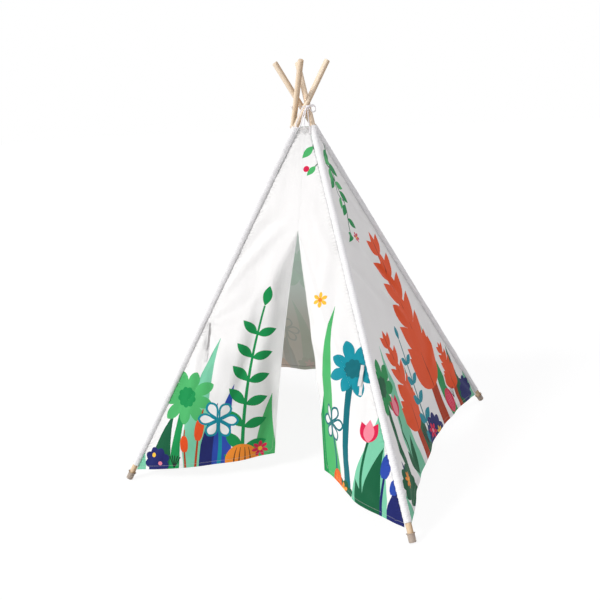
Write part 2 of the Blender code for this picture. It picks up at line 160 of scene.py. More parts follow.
# Grain: how fast each kind changes along its axes, its detail and its roughness
CLOUD_GRAIN = ((7, 7), 4.0, 0.5)
FLECK_GRAIN = ((420, 420), 2.0, 0.5)
CREASE_GRAIN = ((8, 5), 5.0, 0.55)
HANGING_GRAIN = ((24, 3), 3.0, 0.5)
SLUB_GRAINS = (((900, 60), 3.0, 0.5), ((60, 900), 3.0, 0.5))
SOFT_GRAIN = ((60, 30), 4.0, 0.5)
FLUFF_GRAIN = ((9, 900), 3.0, 0.5)
DRIFT_GRAIN = ((20, 20, 1.2), 2.0, 0.5)
STREAK_GRAIN = ((200, 200, 3.0), 3.0, 0.55)
FIBRE_GRAIN = ((900, 900, 14), 2.0, 0.5)

# Marks: each one's band, share and tint
CLOUDS = ((0.35, 0.75), 0.06, (0.72, 0.72, 0.76))
FLECKS = ((0.45, 0.75), 0.08, (0.62, 0.62, 0.64))
STITCH_SHADE = ((0.0040, 0.0008), 0.16, (0.50, 0.50, 0.53))
SLEEVE_SHADE = ((0.0062, 0.0015), 0.38, (0.36, 0.36, 0.38))
TURNED_IN_SHADE = ((0.0035, 0.0010), 0.55, (0.22, 0.22, 0.21))
STREAKS = ((0.52, 0.80), 0.20, "#cda172")
FIBRES = ((0.55, 0.80), 0.10, "#c39a6c")
# Painted shade: the side of a pole turned away from the sun is darker
PAINTED_SHADE_AWAY_FROM_SUN = ((-0.75, 0.60), 0.90, (0.58, 0.48, 0.38))
# Painted shade: the poles are darker towards the floor
PAINTED_SHADE_NEAR_FLOOR = ((0.30, 0.05), 0.70, (0.76, 0.64, 0.48))

# Door
SLIT_TOP_RISE = 1.135
SLIT_TOP_ACROSS = 0.5735
SLIT_FOOT_RISE = 0.152
SLIT_FOOT_ACROSS = {"front_left": 0.497, "front_right": 0.641}
FLAP_HANG = {"front_left": math.radians(32.5), "front_right": math.radians(31)}
FLAP_BILLOW = 0.008
SLIT_BOW = 0.012
FLAP_FOLD = 0.0085
FLAP_SOFTNESS = 0.006
FLAP_FOLD_RATES = (9, 3)
FLAP_SOFT_RATES = (9, 4)
CREASE_INSET = 0.03
CREASE_END = 1.2
FLAP_END = 1.1

# Sleeves
SLEEVE_WALL = 0.0018
SLEEVE_SIDES = 24
SLEEVE_ROW = 0.0045
SLEEVE_GATHER = 0.0006
SLEEVE_GATHER_PITCH = 0.019
SLEEVE_GATHER_BEND = 2.2
SLEEVE_GATHER_BEHIND = 0.35
SLEEVE_SOFTNESS = 0.0012
SLEEVE_SOFT_RATE = 16
SLEEVE_SOFT_SHIFT = 90
SEAM_TURN = math.radians(112)
SEAM_SPREAD = 0.34
SEAM_BUMP = 0.0020
SEAM_PITCH = 0.022
SEAM_DRIFT = 2.4
SEAM_DRIFT_RATE = 14

# Tapes for the flaps
TAPE_WIDTH = 0.012
TAPE_RISES = {"front_left": 0.726, "front_right": 0.618}
TAPE_DROPS = {"front_left": 0.17, "front_right": 0.115}
TAPE_LIFT = 0.0016
TAPE_LEG_STEP = 0.004
TAPE_SHORT_LEG = 0.7
TAPE_SWAY = 0.004
TAPE_SWAY_TURN = 3.1
TAPE_BOW = 0.002
TAPE_CURL = 0.0008
TAPE_CURL_STEP = 0.7
TAPE_CRUMPLE = 0.12
TAPE_CRUMPLE_STEP = 0.9
TAPE_STEPS = 14

# Cord: routes are places round the tie
CORD_RADIUS = 0.00225
CORD_SPACING = 0.0028
CORD_SIDES = 12
CORD_END_SHARES = (0.5, 0.86, 0.99)
CORD_END_ROUNDNESS = 0.5
HOLE_REACH = 0.0113
INNER_REACH = HOLE_REACH - 1.5 * CORD_RADIUS
KNOT_STEPS = 60
KNOT_SIDES = 10
KNOT_DEPTH = 0.75
KNOT_PLACE = (0.0330, -0.0330, 0.0)
KNOT_SIZES = (0.0070, 0.0070, 0.0060)
STOPPER_RADIUS = 0.0048
STOPPER_CORD_RADIUS = 0.0019
TIP_KNOT_RADIUS = 0.0036
TIP_CORD_RADIUS = 0.0015
LINK_BEND_LEFT = ((0.0075, -0.0085, 0), (0, -0.0062, 0), (-0.0075, -0.0085, 0))
LINK_BEND_RIGHT = ((-0.0035, 0.0045, 0), (0, 0.0037, 0), (0.0035, 0.0045, 0))
RIGHT_STRAND = (
    (0.0268, 0.0262, 0),
    (0.0345, 0.0258, 0),
    (0.0390, 0.0185, 0),
    (0.0400, 0.0060, 0),
    (0.0385, -0.0080, 0),
    (0.0355, -0.0190, 0),
    (0.0335, -0.0253, 0),
)
BOW_LEFT = (
    (0.0262, -0.0368, 0.0022),
    (0.0215, -0.0400, 0.0010),
    (0.0150, -0.0435, -0.0060),
    (0.0080, -0.0493, -0.0240),
    (0.0012, -0.0573, -0.0450),
    (-0.0046, -0.0657, -0.0620),
    (-0.0024, -0.0690, -0.0750),
    (0.0066, -0.0660, -0.0780),
    (0.0124, -0.0594, -0.0680),
    (0.0161, -0.0530, -0.0480),
    (0.0211, -0.0474, -0.0280),
    (0.0248, -0.0425, -0.0130),
    (0.0277, -0.0369, -0.0039),
)
BOW_RIGHT = (
    (0.0402, -0.0310, 0.0030),
    (0.0454, -0.0240, 0.0060),
    (0.0518, -0.0140, 0.0030),
    (0.0545, -0.0060, -0.0060),
    (0.0530, -0.0050, -0.0170),
    (0.0485, -0.0130, -0.0220),
    (0.0440, -0.0235, -0.0160),
    (0.0398, -0.0326, -0.0046),
)
TAIL_RIGHT = (
    (0.0341, -0.0345, -0.0064),
    (0.0350, -0.0348, -0.0160),
    (0.0355, -0.0352, -0.0320),
    (0.0377, -0.0375, -0.0560),
    (0.0408, -0.0412, -0.0780),
    (0.0434, -0.0444, -0.0950),
)
TAIL_LEFT = (
    (0.0322, -0.0390, -0.0042),
    (0.0315, -0.0450, -0.0110),
    (0.0300, -0.0487, -0.0230),
    (0.0273, -0.0520, -0.0420),
    (0.0268, -0.0555, -0.0600),
    (0.0272, -0.0585, -0.0740),
)

# Drawn folds of the cloth on each side: start and end in u and v, half width, and height
FOLD_BEND = 0.9
FOLD_LENGTH = 1.05
FOLDS = {
    "front": (
        ((-0.315, 0.70), (-0.050, 1.06), 0.020, 0.0100),
        ((-0.300, 0.80), (-0.090, 1.09), 0.017, -0.0075),
        ((-0.270, 0.92), (-0.110, 1.13), 0.015, 0.0060),
        ((-0.330, 0.67), (-0.270, 0.40), 0.020, -0.0085),
        ((-0.370, 0.62), (-0.360, 0.30), 0.022, 0.0075),
        ((-0.400, 0.40), (-0.450, 0.10), 0.020, -0.0050),
        ((-0.060, 0.92), (-0.110, 0.45), 0.026, 0.0075),
        ((-0.110, 0.80), (-0.190, 0.35), 0.024, -0.0070),
        ((-0.160, 0.66), (-0.280, 0.20), 0.028, 0.0065),
        ((-0.040, 0.55), (-0.060, 0.15), 0.024, -0.0060),
        ((0.170, 1.02), (0.110, 0.70), 0.022, 0.0050),
        ((0.210, 0.84), (0.180, 0.40), 0.022, -0.0050),
        ((0.300, 0.62), (0.250, 0.20), 0.026, 0.0060),
        ((0.370, 0.50), (0.330, 0.10), 0.024, -0.0060),
        ((0.440, 0.34), (0.430, 0.06), 0.020, 0.0045),
        ((0.240, 0.92), (0.090, 1.12), 0.016, 0.0035),
    ),
    "right": (
        ((-0.215, 1.08), (-0.010, 0.94), 0.018, 0.0095),
        ((-0.020, 0.95), (0.170, 0.72), 0.019, -0.0095),
        ((-0.240, 0.96), (-0.060, 0.78), 0.018, -0.0080),
        ((-0.060, 0.80), (0.130, 0.60), 0.020, 0.0085),
        ((0.180, 1.00), (0.060, 1.16), 0.016, 0.0045),
        ((-0.360, 0.52), (-0.120, 0.36), 0.022, 0.0060),
        ((-0.460, 0.22), (-0.200, 0.28), 0.020, -0.0055),
        ((0.360, 0.50), (0.180, 0.34), 0.022, 0.0055),
        ((0.460, 0.22), (0.240, 0.24), 0.020, -0.0050),
    ),
    "back": (
        ((-0.240, 0.96), (-0.040, 0.74), 0.019, 0.0065),
        ((0.200, 1.08), (0.020, 0.92), 0.018, -0.0060),
        ((0.290, 0.80), (0.060, 0.62), 0.020, 0.0055),
        ((-0.380, 0.48), (-0.140, 0.34), 0.022, -0.0055),
        ((0.420, 0.36), (0.180, 0.30), 0.020, 0.0055),
        ((-0.460, 0.18), (-0.220, 0.24), 0.020, 0.0050),
    ),
    "left": (
        ((0.230, 1.00), (0.030, 0.84), 0.018, 0.0065),
        ((-0.200, 1.06), (-0.020, 0.90), 0.018, -0.0055),
        ((-0.300, 0.74), (-0.080, 0.56), 0.020, 0.0060),
        ((0.380, 0.48), (0.150, 0.34), 0.022, -0.0055),
        ((-0.430, 0.30), (-0.180, 0.28), 0.020, 0.0055),
        ((0.460, 0.18), (0.220, 0.24), 0.020, 0.0050),
    ),
}

# Sockets of Blender's Mix node when it mixes colours
MIX_SHARE, MIX_FIRST, MIX_SECOND, MIX_RESULT = 0, 6, 7, 2

# Print colours, as written for a screen
INKS = {
    "canvas": "#f1f0ee",
    "green": "#0f8f4b",
    "deep": "#0d5c3a",
    "leaf": "#4cb368",
    "mint": "#79c8a4",
    "teal": "#0b8c9c",
    "lagoon": "#0a6a74",
    "navy": "#1c2466",
    "blue": "#2a49a8",
    "orange": "#e9531f",
    "rust": "#b23a14",
    "amber": "#f5902f",
    "crimson": "#d81f4c",
    "pink": "#f0899a",
    "yellow": "#f8c23c",
    "ink": "#17181c",
}

# Prints: plants in the order that they are laid over each other, with places in u and v on a side
OPEN_LINE_SHARE = 0.17
LEAF_ROUNDNESS = 2.1
LEAF_STEPS = 12
BLADE_SHARES = (0.7, 1.0, 0.85, 0.45, 0.01)
MELON_RIB_SHARES = (0.012, 0.035, 0.012)
PRINTS = {
    "front": (
        ("blade", (-0.54, 0.0), 0.16, 0.06, 0.0, "mint"),
        ("blade", (-0.45, 0.0), 0.30, 0.08, 0.03, "deep"),
        ("blade", (-0.31, 0.0), 0.62, 0.10, 0.06, "mint"),
        ("blade", (-0.25, 0.0), 0.36, 0.08, 0.01, "navy"),
        ("blade", (-0.20, 0.0), 0.44, 0.08, 0.02, "blue"),
        ("blade", (-0.01, 0.0), 0.40, 0.09, -0.02, "leaf"),
        ("sunflower", (-0.40, 0.0), 0.37, 0.03, 0.125, 9, "leaf", "green"),
        ("sprig", (-0.125, 0.0), 0.76, 0.045, 7, 0.105, "green", "green", 0.45, 0.7),
        ("bulrush", (-0.315, 0.03), 0.30, 0.02, 0.034, "orange", "rust"),
        ("bulrush", (-0.345, 0.03), 0.21, -0.02, 0.030, "orange", "rust"),
        ("open_flower", (-0.235, 0.03), 0.26, 0.0, 0.080, 6, "teal"),
        ("melon", (-0.135, 0.05), 0.14, 0.135, "amber", "ink"),
        ("daisy", (-0.065, 0.165), 0.034, 7, "crimson", "yellow"),
        ("bush", (-0.475, 0.10), 0.055, 8, "navy"),
        ("dot", (-0.49, 0.12), 0.009, "yellow"),
        ("dot", (-0.46, 0.09), 0.008, "pink"),
        ("strokes", (-0.40, 0.08), 5, 0.05, "ink"),
        ("blade", (0.535, 0.0), 0.22, 0.07, 0.01, "navy"),
        ("blade", (0.20, 0.0), 0.52, 0.10, -0.02, "green"),
        ("blade", (0.265, 0.0), 0.78, 0.10, -0.05, "leaf"),
        ("blade", (0.40, 0.0), 0.30, 0.08, 0.0, "mint"),
        ("blade", (0.47, 0.0), 0.46, 0.10, -0.02, "mint"),
        ("blade", (0.44, 0.0), 0.30, 0.08, 0.02, "deep"),
        ("sunflower", (0.335, 0.0), 0.56, -0.02, 0.105, 8, "teal", "lagoon"),
        ("open_flower", (0.225, 0.05), 0.30, 0.0, 0.072, 6, "lagoon"),
        ("tulip", (0.40, 0.05), 0.26, 0.0, 0.080, "crimson", "pink", "deep"),
        ("bulrush", (0.475, 0.05), 0.26, 0.01, 0.036, "blue", "navy"),
        ("bulrush", (0.510, 0.05), 0.17, 0.01, 0.032, "blue", "navy"),
        ("bush", (0.29, 0.09), 0.065, 9, "deep"),
        ("daisy", (0.29, 0.11), 0.030, 6, "amber", "yellow"),
        ("melon", (0.245, 0.10), 0.075, 0.06, "orange", "yellow"),
        ("daisy", (0.155, 0.80), 0.030, 6, "yellow", "amber"),
        ("vine", (0.055, 1.45), 0.16, -0.12, 4, 0.065, "leaf", "deep", 1),
        ("dot", (0.030, 1.30), 0.012, "crimson"),
    ),
    "right": (
        ("blade", (-0.53, 0.0), 0.34, 0.08, 0.02, "mint"),
        ("blade", (-0.43, 0.0), 0.22, 0.07, 0.01, "navy"),
        ("blade", (-0.25, 0.0), 0.60, 0.10, 0.03, "mint"),
        ("blade", (-0.08, 0.0), 0.46, 0.09, 0.01, "deep"),
        ("blade", (0.30, 0.0), 0.52, 0.09, -0.03, "green"),
        ("blade", (0.44, 0.0), 0.36, 0.09, -0.01, "deep"),
        ("blade", (0.52, 0.0), 0.22, 0.07, 0.0, "mint"),
        ("sunflower", (-0.38, 0.0), 0.48, 0.03, 0.120, 8, "green", "deep"),
        ("torch", (0.15, 0.04), 0.90, -0.03, 0.235, 6, "orange", "rust"),
        ("torch", (-0.17, 0.06), 0.54, 0.02, 0.160, 5, "orange", "rust"),
        ("torch", (0.37, 0.07), 0.30, -0.01, 0.120, 4, "orange", "rust"),
        ("sprig", (-0.02, 0.05), 0.50, 0.01, 5, 0.090, "teal", "lagoon", 0.5),
        ("bush", (0.02, 0.12), 0.085, 10, "navy"),
        ("daisy", (0.00, 0.14), 0.034, 6, "crimson", "pink"),
        ("daisy", (0.055, 0.11), 0.026, 6, "yellow", "amber"),
        ("tulip", (-0.29, 0.10), 0.24, 0.0, 0.085, "crimson", "pink", "deep"),
        ("bush", (-0.43, 0.13), 0.075, 9, "deep"),
        ("daisy", (-0.43, 0.15), 0.032, 7, "amber", "yellow"),
        ("melon", (0.27, 0.10), 0.11, 0.10, "crimson", "pink"),
        ("bush", (0.47, 0.12), 0.065, 9, "navy"),
        ("strokes", (-0.10, 0.13), 5, 0.07, "ink"),
        ("strokes", (0.33, 0.14), 4, 0.05, "ink"),
        ("vine", (0.045, 1.45), 0.46, 0.20, 8, 0.085, "green", "deep", 1),
        ("vine", (-0.035, 1.38), 0.24, -0.16, 4, 0.075, "leaf", "deep", 3),
        ("daisy", (-0.02, 1.00), 0.024, 6, "crimson", "yellow"),
    ),
    "back": (
        ("blade", (-0.52, 0.0), 0.26, 0.07, 0.01, "green"),
        ("blade", (-0.44, 0.0), 0.42, 0.09, 0.02, "mint"),
        ("blade", (-0.13, 0.0), 0.46, 0.09, -0.02, "leaf"),
        ("blade", (-0.04, 0.0), 0.62, 0.10, 0.01, "deep"),
        ("blade", (0.30, 0.0), 0.56, 0.09, -0.02, "mint"),
        ("blade", (0.41, 0.0), 0.36, 0.08, 0.01, "lagoon"),
        ("blade", (0.51, 0.0), 0.22, 0.07, 0.01, "deep"),
        ("sunflower", (-0.29, 0.0), 0.64, 0.02, 0.130, 9, "teal", "lagoon"),
        ("sunflower", (0.20, 0.0), 0.76, -0.02, 0.140, 9, "leaf", "green"),
        ("torch", (-0.17, 0.04), 0.50, 0.01, 0.140, 4, "orange", "rust"),
        ("sprig", (0.08, 0.05), 0.52, 0.0, 6, 0.100, "blue", "navy", 0.55),
        ("open_flower", (0.37, 0.02), 0.34, 0.0, 0.085, 6, "teal"),
        ("melon", (-0.41, 0.04), 0.14, 0.12, "crimson", "pink"),
        ("melon", (0.46, 0.03), 0.11, 0.10, "amber", "ink"),
        ("bush", (0.01, 0.12), 0.085, 10, "navy"),
        ("daisy", (0.02, 0.14), 0.036, 7, "yellow", "amber"),
        ("bush", (0.28, 0.11), 0.075, 9, "green"),
        ("daisy", (0.28, 0.13), 0.032, 6, "pink", "crimson"),
        ("strokes", (-0.22, 0.13), 5, 0.06, "ink"),
        ("vine", (0.02, 1.44), 0.38, 0.12, 7, 0.085, "green", "deep", 2),
        ("vine", (-0.03, 1.38), 0.26, -0.22, 5, 0.075, "leaf", "deep", 0),
        ("daisy", (-0.07, 1.06), 0.026, 6, "crimson", "yellow"),
    ),
    "left": (
        ("blade", (-0.53, 0.0), 0.24, 0.07, 0.01, "navy"),
        ("blade", (-0.44, 0.0), 0.48, 0.09, 0.02, "green"),
        ("blade", (-0.35, 0.0), 0.36, 0.08, 0.0, "mint"),
        ("blade", (0.00, 0.0), 0.60, 0.10, 0.02, "mint"),
        ("blade", (0.12, 0.0), 0.46, 0.08, -0.01, "lagoon"),
        ("blade", (0.42, 0.0), 0.42, 0.09, -0.02, "leaf"),
        ("blade", (0.51, 0.0), 0.26, 0.07, 0.0, "deep"),
        ("torch", (-0.24, 0.04), 0.72, 0.02, 0.180, 5, "orange", "rust"),
        ("sunflower", (-0.07, 0.0), 0.72, 0.0, 0.135, 9, "green", "deep"),
        ("sunflower", (0.23, 0.0), 0.62, 0.01, 0.115, 8, "leaf", "green"),
        ("sprig", (0.35, 0.05), 0.40, -0.01, 5, 0.095, "teal", "lagoon", 0.55),
        ("bush", (-0.15, 0.11), 0.085, 10, "navy"),
        ("daisy", (-0.13, 0.14), 0.034, 7, "pink", "crimson"),
        ("melon", (0.08, 0.05), 0.15, 0.13, "amber", "ink"),
        ("melon", (-0.46, 0.03), 0.12, 0.10, "crimson", "pink"),
        ("tulip", (0.47, 0.04), 0.20, 0.0, 0.070, "crimson", "pink", "deep"),
        ("strokes", (0.17, 0.12), 5, 0.06, "ink"),
        ("vine", (-0.02, 1.44), 0.34, -0.10, 6, 0.085, "green", "deep", 3),
        ("vine", (0.035, 1.40), 0.28, 0.24, 5, 0.075, "leaf", "deep", 1),
        ("daisy", (0.015, 1.02), 0.024, 6, "yellow", "amber"),
    ),
}


def linear(code):
    """A screen colour as linear light."""
    shares = [int(code[start : start + 2], 16) / 255 for start in (1, 3, 5)]
    return [share / 12.92 if share < 0.04045 else ((share + 0.055) / 1.055) ** 2.4 for share in shares]


# Shader tools


class Wire:
    """A socket that adds Math nodes when Python's arithmetic is used on it."""

    def __init__(self, nodes, socket):
        self.nodes = nodes
        self.socket = socket

    def math(self, operation, *values):
        return self.nodes.wire("ShaderNodeMath", dict(operation=operation), values)

    def __add__(self, other):
        return self.math("ADD", self, other)

    __radd__ = __add__

    def __sub__(self, other):
        return self.math("SUBTRACT", self, other)

    def __rsub__(self, other):
        return self.math("SUBTRACT", other, self)

    def __mul__(self, other):
        return self.math("MULTIPLY", self, other)

    __rmul__ = __mul__

    def __truediv__(self, other):
        return self.math("DIVIDE", self, other)

    def __pow__(self, other):
        return self.math("POWER", self, other)

    def sin(self):
        return self.math("SINE", self)

    def absolute(self):
        return self.math("ABSOLUTE", self)

    def band(self, start, full):
        """0 up to the start, 1 from where it is full, and smooth between."""
        settings = dict(interpolation_type="SMOOTHSTEP")
        return self.nodes.wire("ShaderNodeMapRange", settings, (self, start, full, 0.0, 1.0))


class Nodes:
    """A node tree in the making."""

    def __init__(self, tree):
        self.tree = tree

    def node(self, kind, settings=None, values=()):
        """A node of a kind: its settings are set first, then its sockets' values or links."""
        node = self.tree.nodes.new(kind)
        for key, value in (settings or {}).items():
            setattr(node, key, value)
        pairs = values.items() if isinstance(values, dict) else enumerate(values)
        for key, value in pairs:
            if isinstance(value, Wire):
                self.tree.links.new(value.socket, node.inputs[key])
            else:
                node.inputs[key].default_value = value
        return node

    def wire(self, kind, settings=None, values=(), output=0):
        """What a new node gives out."""
        return Wire(self, self.node(kind, settings, values).outputs[output])

    def end(self, output, share, first, second):
        """Ends the tree in a mix of two shaders."""
        shaders = (Wire(self, shader.outputs[0]) for shader in (first, second))
        mix = self.wire("ShaderNodeMixShader", None, (share, *shaders))
        self.tree.links.new(mix.socket, self.tree.nodes[output].inputs["Surface"])


class Finish(Nodes):
    """A material in the making: one Principled shader, and what feeds it."""

    def __init__(self, name, **constants):
        self.material = bpy.data.materials.new(name)
        self.material.use_nodes = True
        super().__init__(self.material.node_tree)
        self.shader = self.tree.nodes["Principled BSDF"]
        for key, value in constants.items():
            self.shader.inputs[key.replace("_", " ")].default_value = value

    def place(self):
        """Where a point of the piece is, in the part's own frame at rest."""
        return self.wire("ShaderNodeTexCoord", output="Object")

    def uv(self):
        """The piece's flat coordinates, u and v, as its mesh carries them."""
        flat = self.wire("ShaderNodeUVMap", dict(uv_map="flat"))
        parts = self.node("ShaderNodeSeparateXYZ", None, (flat,))
        return Wire(self, parts.outputs[0]), Wire(self, parts.outputs[1])

    def attribute(self, name, output="Fac"):
        """A value or colour that the mesh carries."""
        return self.wire("ShaderNodeAttribute", dict(attribute_name=name), output=output)

    def dot(self, vector, direction):
        """How far a vector goes in a direction."""
        values = (vector, tuple(direction))
        return self.wire("ShaderNodeVectorMath", dict(operation="DOT_PRODUCT"), values, "Value")

    def noise(self, place, scale, detail, roughness=0.5):
        values = {"Vector": place, "Scale": scale, "Detail": detail, "Roughness": roughness}
        return self.wire("ShaderNodeTexNoise", None, values, "Fac")

    def grain(self, axes, kind):
        """Noise that changes at its own rate along each axis."""
        rates, detail, roughness = kind
        scaled = [axis * rate for axis, rate in zip(axes, rates)]
        return self.noise(self.wire("ShaderNodeCombineXYZ", None, scaled), 1.0, detail, roughness)

    def mix(self, share, first, second, blend="MIX"):
        """A colour between two colours, which are wires, screen colours or linear light."""
        values = {MIX_SHARE: share}
        for socket, colour in ((MIX_FIRST, first), (MIX_SECOND, second)):
            if isinstance(colour, str):
                colour = linear(colour)
            values[socket] = colour if isinstance(colour, Wire) else (*colour, 1)
        settings = dict(data_type="RGBA", blend_type=blend)
        return self.wire("ShaderNodeMix", settings, values, MIX_RESULT)

    def mark(self, colour, value, mark, where=1.0, blend="MULTIPLY"):
        """A colour with a mark on it, as a value goes through the mark's band."""
        band, share, tint = mark
        return self.mix(value.band(*band) * (where * share), colour, tint, blend)

    def feed(self, socket, wire):
        self.tree.links.new(wire.socket, self.shader.inputs[socket])

    def raise_forms(self, relief, **forms):
        """Makes forms stand out from the surface, as a kind of relief says."""
        depth, strength, shares = relief
        height = sum(form * shares[name] for name, form in forms.items())
        values = {"Strength": strength, "Distance": depth, "Height": height}
        self.feed("Normal", self.wire("ShaderNodeBump", None, values))


def weave_height(finish, flat):
    """The over and under of plain canvas, with a few thicker threads."""
    over, under = ((axis * (math.tau / WEAVE_PITCH)).sin() for axis in flat)
    slubs = sum(finish.grain(flat, kind) for kind in SLUB_GRAINS)
    return over * under * WEAVE_SHARE + slubs


def canvas_finish():
    """Cotton canvas: the colour of its print from the mesh, a stitched hem, painted shade beside its stitches,
    sleeves and turned hem, and a painted glow on its inner face in place of light through it.
    """
    finish = Finish(
        "canvas", Roughness=0.88, Sheen_Weight=0.12, Sheen_Roughness=0.5, Emission_Strength=1.0,
        Specular_IOR_Level=COTTON_SPECULAR,
    )
    flat = finish.uv()
    u, v = flat
    within, reach, seam = map(finish.attribute, ("inside", "hem", "seam"))
    row = (reach - HEM_WIDTH).absolute()
    beat = ((u + v) * (math.tau / HEM_STITCH)).sin()
    stitches = row.band(*STITCH_BAND) * beat.band(*STITCH_BEAT_BAND)
    creases = finish.grain(flat, CREASE_GRAIN)
    colour = finish.attribute("print", "Color")
    colour = finish.mark(colour, finish.grain(flat, CLOUD_GRAIN), CLOUDS)
    colour = finish.mark(colour, finish.grain(flat, FLECK_GRAIN), FLECKS)
    colour = finish.mark(colour, row, STITCH_SHADE)
    colour = finish.mix(stitches * STITCH_SHARE, colour, INKS["canvas"])
    colour = finish.mark(colour, seam, SLEEVE_SHADE, 1 - within * INNER_SHADE_LOSS)
    colour = finish.mark(colour, (reach - HEM_TURN).absolute(), TURNED_IN_SHADE, within)
    finish.feed("Base Color", colour)
    # Painted light: the inner face glows in place of light through the cloth, more towards the top
    through = finish.mix(v.band(*GLOW_BAND), GLOW_LOW, GLOW_HIGH)
    glow = finish.mix(1, colour, through, "MULTIPLY")
    finish.feed("Emission Color", finish.mix(within, (0, 0, 0), glow))
    finish.raise_forms(
        CANVAS_RELIEF,
        weave=weave_height(finish, flat),
        creases=creases,
        hanging=finish.grain(flat, HANGING_GRAIN),
        gathers=seam.band(*GATHER_BAND) * (v * (math.tau / GATHER_PITCH) + creases * GATHER_SWAY).sin(),
        turned_up=reach.band(HEM_WIDTH + HEM_STEP, HEM_WIDTH - HEM_STEP),
        stitches=stitches,
    )
    return finish.material


def plain_cloth_finish(name, colour, ridge_pitch):
    """White cotton with even ridges across its length, such as stitches or a ribbed tape."""
    finish = Finish(name, Roughness=0.85, Sheen_Weight=0.15, Specular_IOR_Level=COTTON_SPECULAR)
    flat = finish.uv()
    u, v = flat
    ridges = (v * (math.tau / ridge_pitch) + u * RIDGE_SLANT).sin()
    soft = finish.grain(flat, SOFT_GRAIN)
    shade = ridges.band(*RIDGE_BAND) * RIDGE_SHARE + soft.band(*SOFT_BAND) * SOFT_SHARE
    finish.feed("Base Color", finish.mix(shade, colour, COTTON_SHADOW))
    finish.raise_forms(PLAIN_CLOTH_RELIEF, ridges=ridges, soft=soft, weave=weave_height(finish, flat))
    return finish.material


def cord_finish():
    """Soft white cord: strands laid round each other."""
    finish = Finish("cotton_cord", Roughness=0.82, Sheen_Weight=0.25, Specular_IOR_Level=COTTON_SPECULAR)
    flat = finish.uv()
    u, v = flat
    strands = (v * (math.tau / STRAND_PITCH) + u * (math.tau * STRANDS)).sin()
    shade = strands.band(*STRAND_BAND) * STRAND_SHARE
    finish.feed("Base Color", finish.mix(shade, CORD_COLOUR, CORD_SHADOW))
    finish.raise_forms(CORD_RELIEF, strands=strands, fluff=finish.grain(flat, FLUFF_GRAIN))
    return finish.material


def pine_finish(pole):
    """Sanded pine, its grain along the pole, with painted shade on the side turned from the window and painted
    shade low down, near the floor.
    """
    finish = Finish(f"pine_{pole.name}", Coat_Weight=0.08, Specular_IOR_Level=0.35)
    place = finish.place()
    directions = (pole.side, pole.side.cross(pole.axis), pole.axis)
    axes = [finish.dot(place, direction) for direction in directions]
    drift, streaks, fibres = (finish.grain(axes, kind) for kind in (DRIFT_GRAIN, STREAK_GRAIN, FIBRE_GRAIN))
    turn = axes[0] * RING_RATES[0] + axes[1] * RING_RATES[1] + drift * RING_DRIFT
    rings = (turn.sin() * 0.5 + 0.5) ** RING_SHARPNESS
    colour = finish.mix(rings * RING_SHARE * streaks.band(*RING_BAND), PINE_LIGHT, PINE_WARM)
    colour = finish.mark(colour, streaks, STREAKS, blend="MIX")
    colour = finish.mark(colour, fibres, FIBRES, blend="MIX")
    # Painted shade: darker on the side of the pole turned away from the sun
    away = (pole.axis * Vector(SUN_FROM).dot(pole.axis) - Vector(SUN_FROM)).normalized()
    shaded_side = (finish.dot(place, away) - pole.tie.dot(away)) / POLE_RADIUS
    colour = finish.mark(colour, shaded_side, PAINTED_SHADE_AWAY_FROM_SUN)
    # Painted shade: the pole is darker towards the floor
    finish.feed("Base Color", finish.mark(colour, finish.dot(place, (0, 0, 1)), PAINTED_SHADE_NEAR_FLOOR))
    finish.feed("Roughness", fibres * PINE_ROUGHNESS_RANGE + PINE_ROUGHNESS)
    finish.raise_forms(PINE_RELIEF, fibres=fibres, streaks=streaks)
    return finish.material


def cloudy_finish(name, scale, detail, colours, roughness, **constants):
    """A smooth material whose colour and gloss are a little uneven."""
    finish = Finish(name, **constants)
    cloud = finish.noise(finish.place(), scale, detail)
    finish.feed("Base Color", finish.mix(cloud, *colours))
    finish.feed("Roughness", cloud * CLOUDY_ROUGHNESS_RANGE + roughness)
    return finish.material


# Poles and sides of the cover


class Pole:
    """A pole's line, from its fold joint and its foot. It stands in a row and on a flank."""

    def __init__(self, name):
        joint = JOINTS[f"fold_{name}"]
        self.name = name
        self.row, self.flank = name.split("_")
        self.body = joint["child"]
        self.fold = joint["name"]
        self.tie = Vector(joint["pos_m"])
        self.side = Vector(joint["axis"])
        self.axis = (Vector(MOUNTS[f"foot_{name}"]["pos_m"]) - self.tie).normalized()

    def at(self, level):
        return self.tie + self.axis * level


def slope_length():
    """How far it is down a pole's line from the tie to the floor, as if the poles met at one point."""
    tie = Vector(JOINTS["fold_front_left"]["pos_m"])
    axis = (Vector(MOUNTS["foot_front_left"]["pos_m"]) - tie).normalized()
    return math.hypot(tie.z, (tie - axis * (tie.z / axis.z)).xy.length)


def freed(distance):
    """0 where cloth is held at an edge or a crease, and nearly 1 well away from it."""
    return 1 - math.exp(-distance / EDGE_HOLD)


